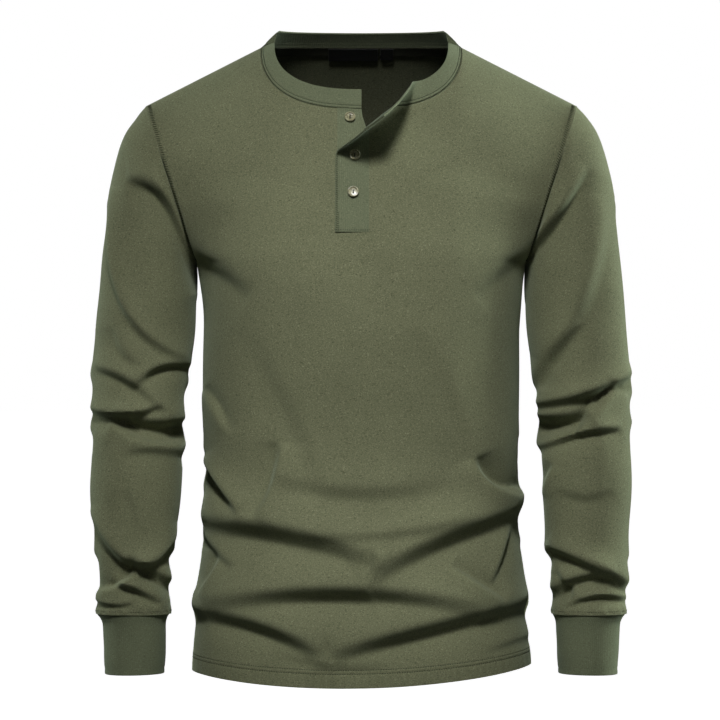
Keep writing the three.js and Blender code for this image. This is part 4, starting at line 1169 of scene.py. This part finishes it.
buttons, button_threads = {}, []
for name in BUTTON_PLACES:
    spot = button_frame(name)
    piece = drilled("shirt_" + name)
    place(piece, spot, BUTTON_SEAT)
    buttons[name] = piece
    middle, across, normal, up = spot
    for shift in (-0.38, 0.0, 0.38):
        bar = np.linspace(-BUTTON_SPREAD, BUTTON_SPREAD, 9)
        drop = -0.9 * np.abs(bar / BUTTON_SPREAD) ** 6
        path = (middle + normal * (BUTTON_SEAT + BUTTON_DISH + 0.3) + across * shift)[None, :] \
            + up * bar[:, None] + normal * drop[:, None]
        button_threads.append((path, np.repeat(normal[None], 9, 0)))
thread_bars = stitched("stitches_buttons", button_threads, 0.45, 0.75, 0.36)

# What each piece stands for and what it is made of
PIECES = [
    (front, "front", "jersey"), (back, "back", "jersey"),
    (sleeves[-1], "sleeve_right", "jersey"), (sleeves[1], "sleeve_left", "jersey"),
    (cuffs[-1], "cuff_right", "rib"), (cuffs[1], "cuff_left", "rib"), (band, "neckband", "rib"),
    (under, "placket_under", "rib"), (upper, "placket_upper", "rib"),
    (tape, "neck_tape", "tape"), (label, "neck_label", "label"), (tab, "size_tab", "label"),
    (buttons["button_top"], "button_top", "button"), (buttons["button_middle"], "button_middle", "button"),
    (buttons["button_bottom"], "button_bottom", "button"),
]
for piece, node, finish in PIECES:
    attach(piece, "root")
    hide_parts(node)
for piece in (hem_front, hem_back, arm_front, arm_back, cuff_stitches):
    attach(piece, "root")
for piece in (band_stitches, edge_stitches, bottom_stitches, under_stitches, thread_bars):
    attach(piece, "root")

# Floor, light and camera

FLOOR_Z, FLOOR_HALF = -0.80, 30


def studio():
    """A white floor and air for the camera, which give the shirt itself little light."""
    white, tree, shader = new_material("studio_white")
    shader["Roughness"].default_value = 0.9
    shader["Emission Color"].default_value = (1, 1, 1, 1)
    seen = new_node(tree, "ShaderNodeLightPath").outputs["Is Camera Ray"]
    tree.links.new(math_node(tree, "MULTIPLY_ADD", seen, 0.6, 0.1), shader["Base Color"])
    tree.links.new(math_node(tree, "MULTIPLY", seen, 1.0), shader["Emission Strength"])
    mesh = bpy.data.meshes.new("floor")
    corners = [(x * FLOOR_HALF, y * FLOOR_HALF, FLOOR_Z) for x, y in ((-1, -1), (1, -1), (1, 1), (-1, 1))]
    mesh.from_pydata(corners, [], [(0, 1, 2, 3)])
    mesh.materials.append(white)
    floor = bpy.data.objects.new("floor", mesh)
    bpy.context.scene.collection.objects.link(floor)

    world = bpy.data.worlds.new("studio")
    bpy.context.scene.world = world
    world.use_nodes = True
    tree = world.node_tree
    air = tree.nodes["Background"]
    air.inputs["Color"].default_value = (1, 1, 1, 1)
    seen = new_node(tree, "ShaderNodeLightPath").outputs["Is Camera Ray"]
    strength = math_node(tree, "ADD", math_node(tree, "MULTIPLY", seen, 0.985), 0.015)
    tree.links.new(strength, air.inputs["Strength"])


def area_light(name, spot, aim, size, power, spread, tint=(1, 1, 1)):
    light = bpy.data.lights.new(name, "AREA")
    light.shape, light.size, light.size_y = "RECTANGLE", size[0], size[1]
    light.energy, light.spread, light.color = power, math.radians(spread), tint
    obj = bpy.data.objects.new(name, light)
    obj.location = spot
    obj.rotation_euler = Vector(np.array(aim, float) - np.array(spot, float)).to_track_quat("-Z", "Y").to_euler()
    bpy.context.scene.collection.objects.link(obj)


studio()
area_light("key", (-0.1, -1.9, 1.3), (0.0, -0.1, -0.36), (0.5, 0.6), 1.5, 26)
area_light("fill", (0.2, -3.2, 0.3), (0, 0, -0.35), (1.6, 1.0), 0.35, 60)
area_light("rim_left", (-1.6, 0.6, 0.35), (-0.25, 0, -0.35), (0.3, 1.6), 4, 90, (0.92, 1, 0.92))
area_light("rim_right", (1.6, 0.4, 0.35), (0.25, 0, -0.35), (0.3, 1.6), 9, 90, (0.92, 1, 0.92))

view_from = bpy.data.cameras.new("camera")
view_from.lens, view_from.sensor_width = 187.0, 36.0
view_from.clip_start, view_from.clip_end = 0.1, 100
camera = bpy.data.objects.new("camera", view_from)
camera.location = (-0.0014, -4.0, -0.335)
camera.rotation_euler = (math.pi / 2, 0, 0)
bpy.context.scene.collection.objects.link(camera)
bpy.context.scene.camera = camera
bpy.context.scene.view_settings.view_transform = "Standard"
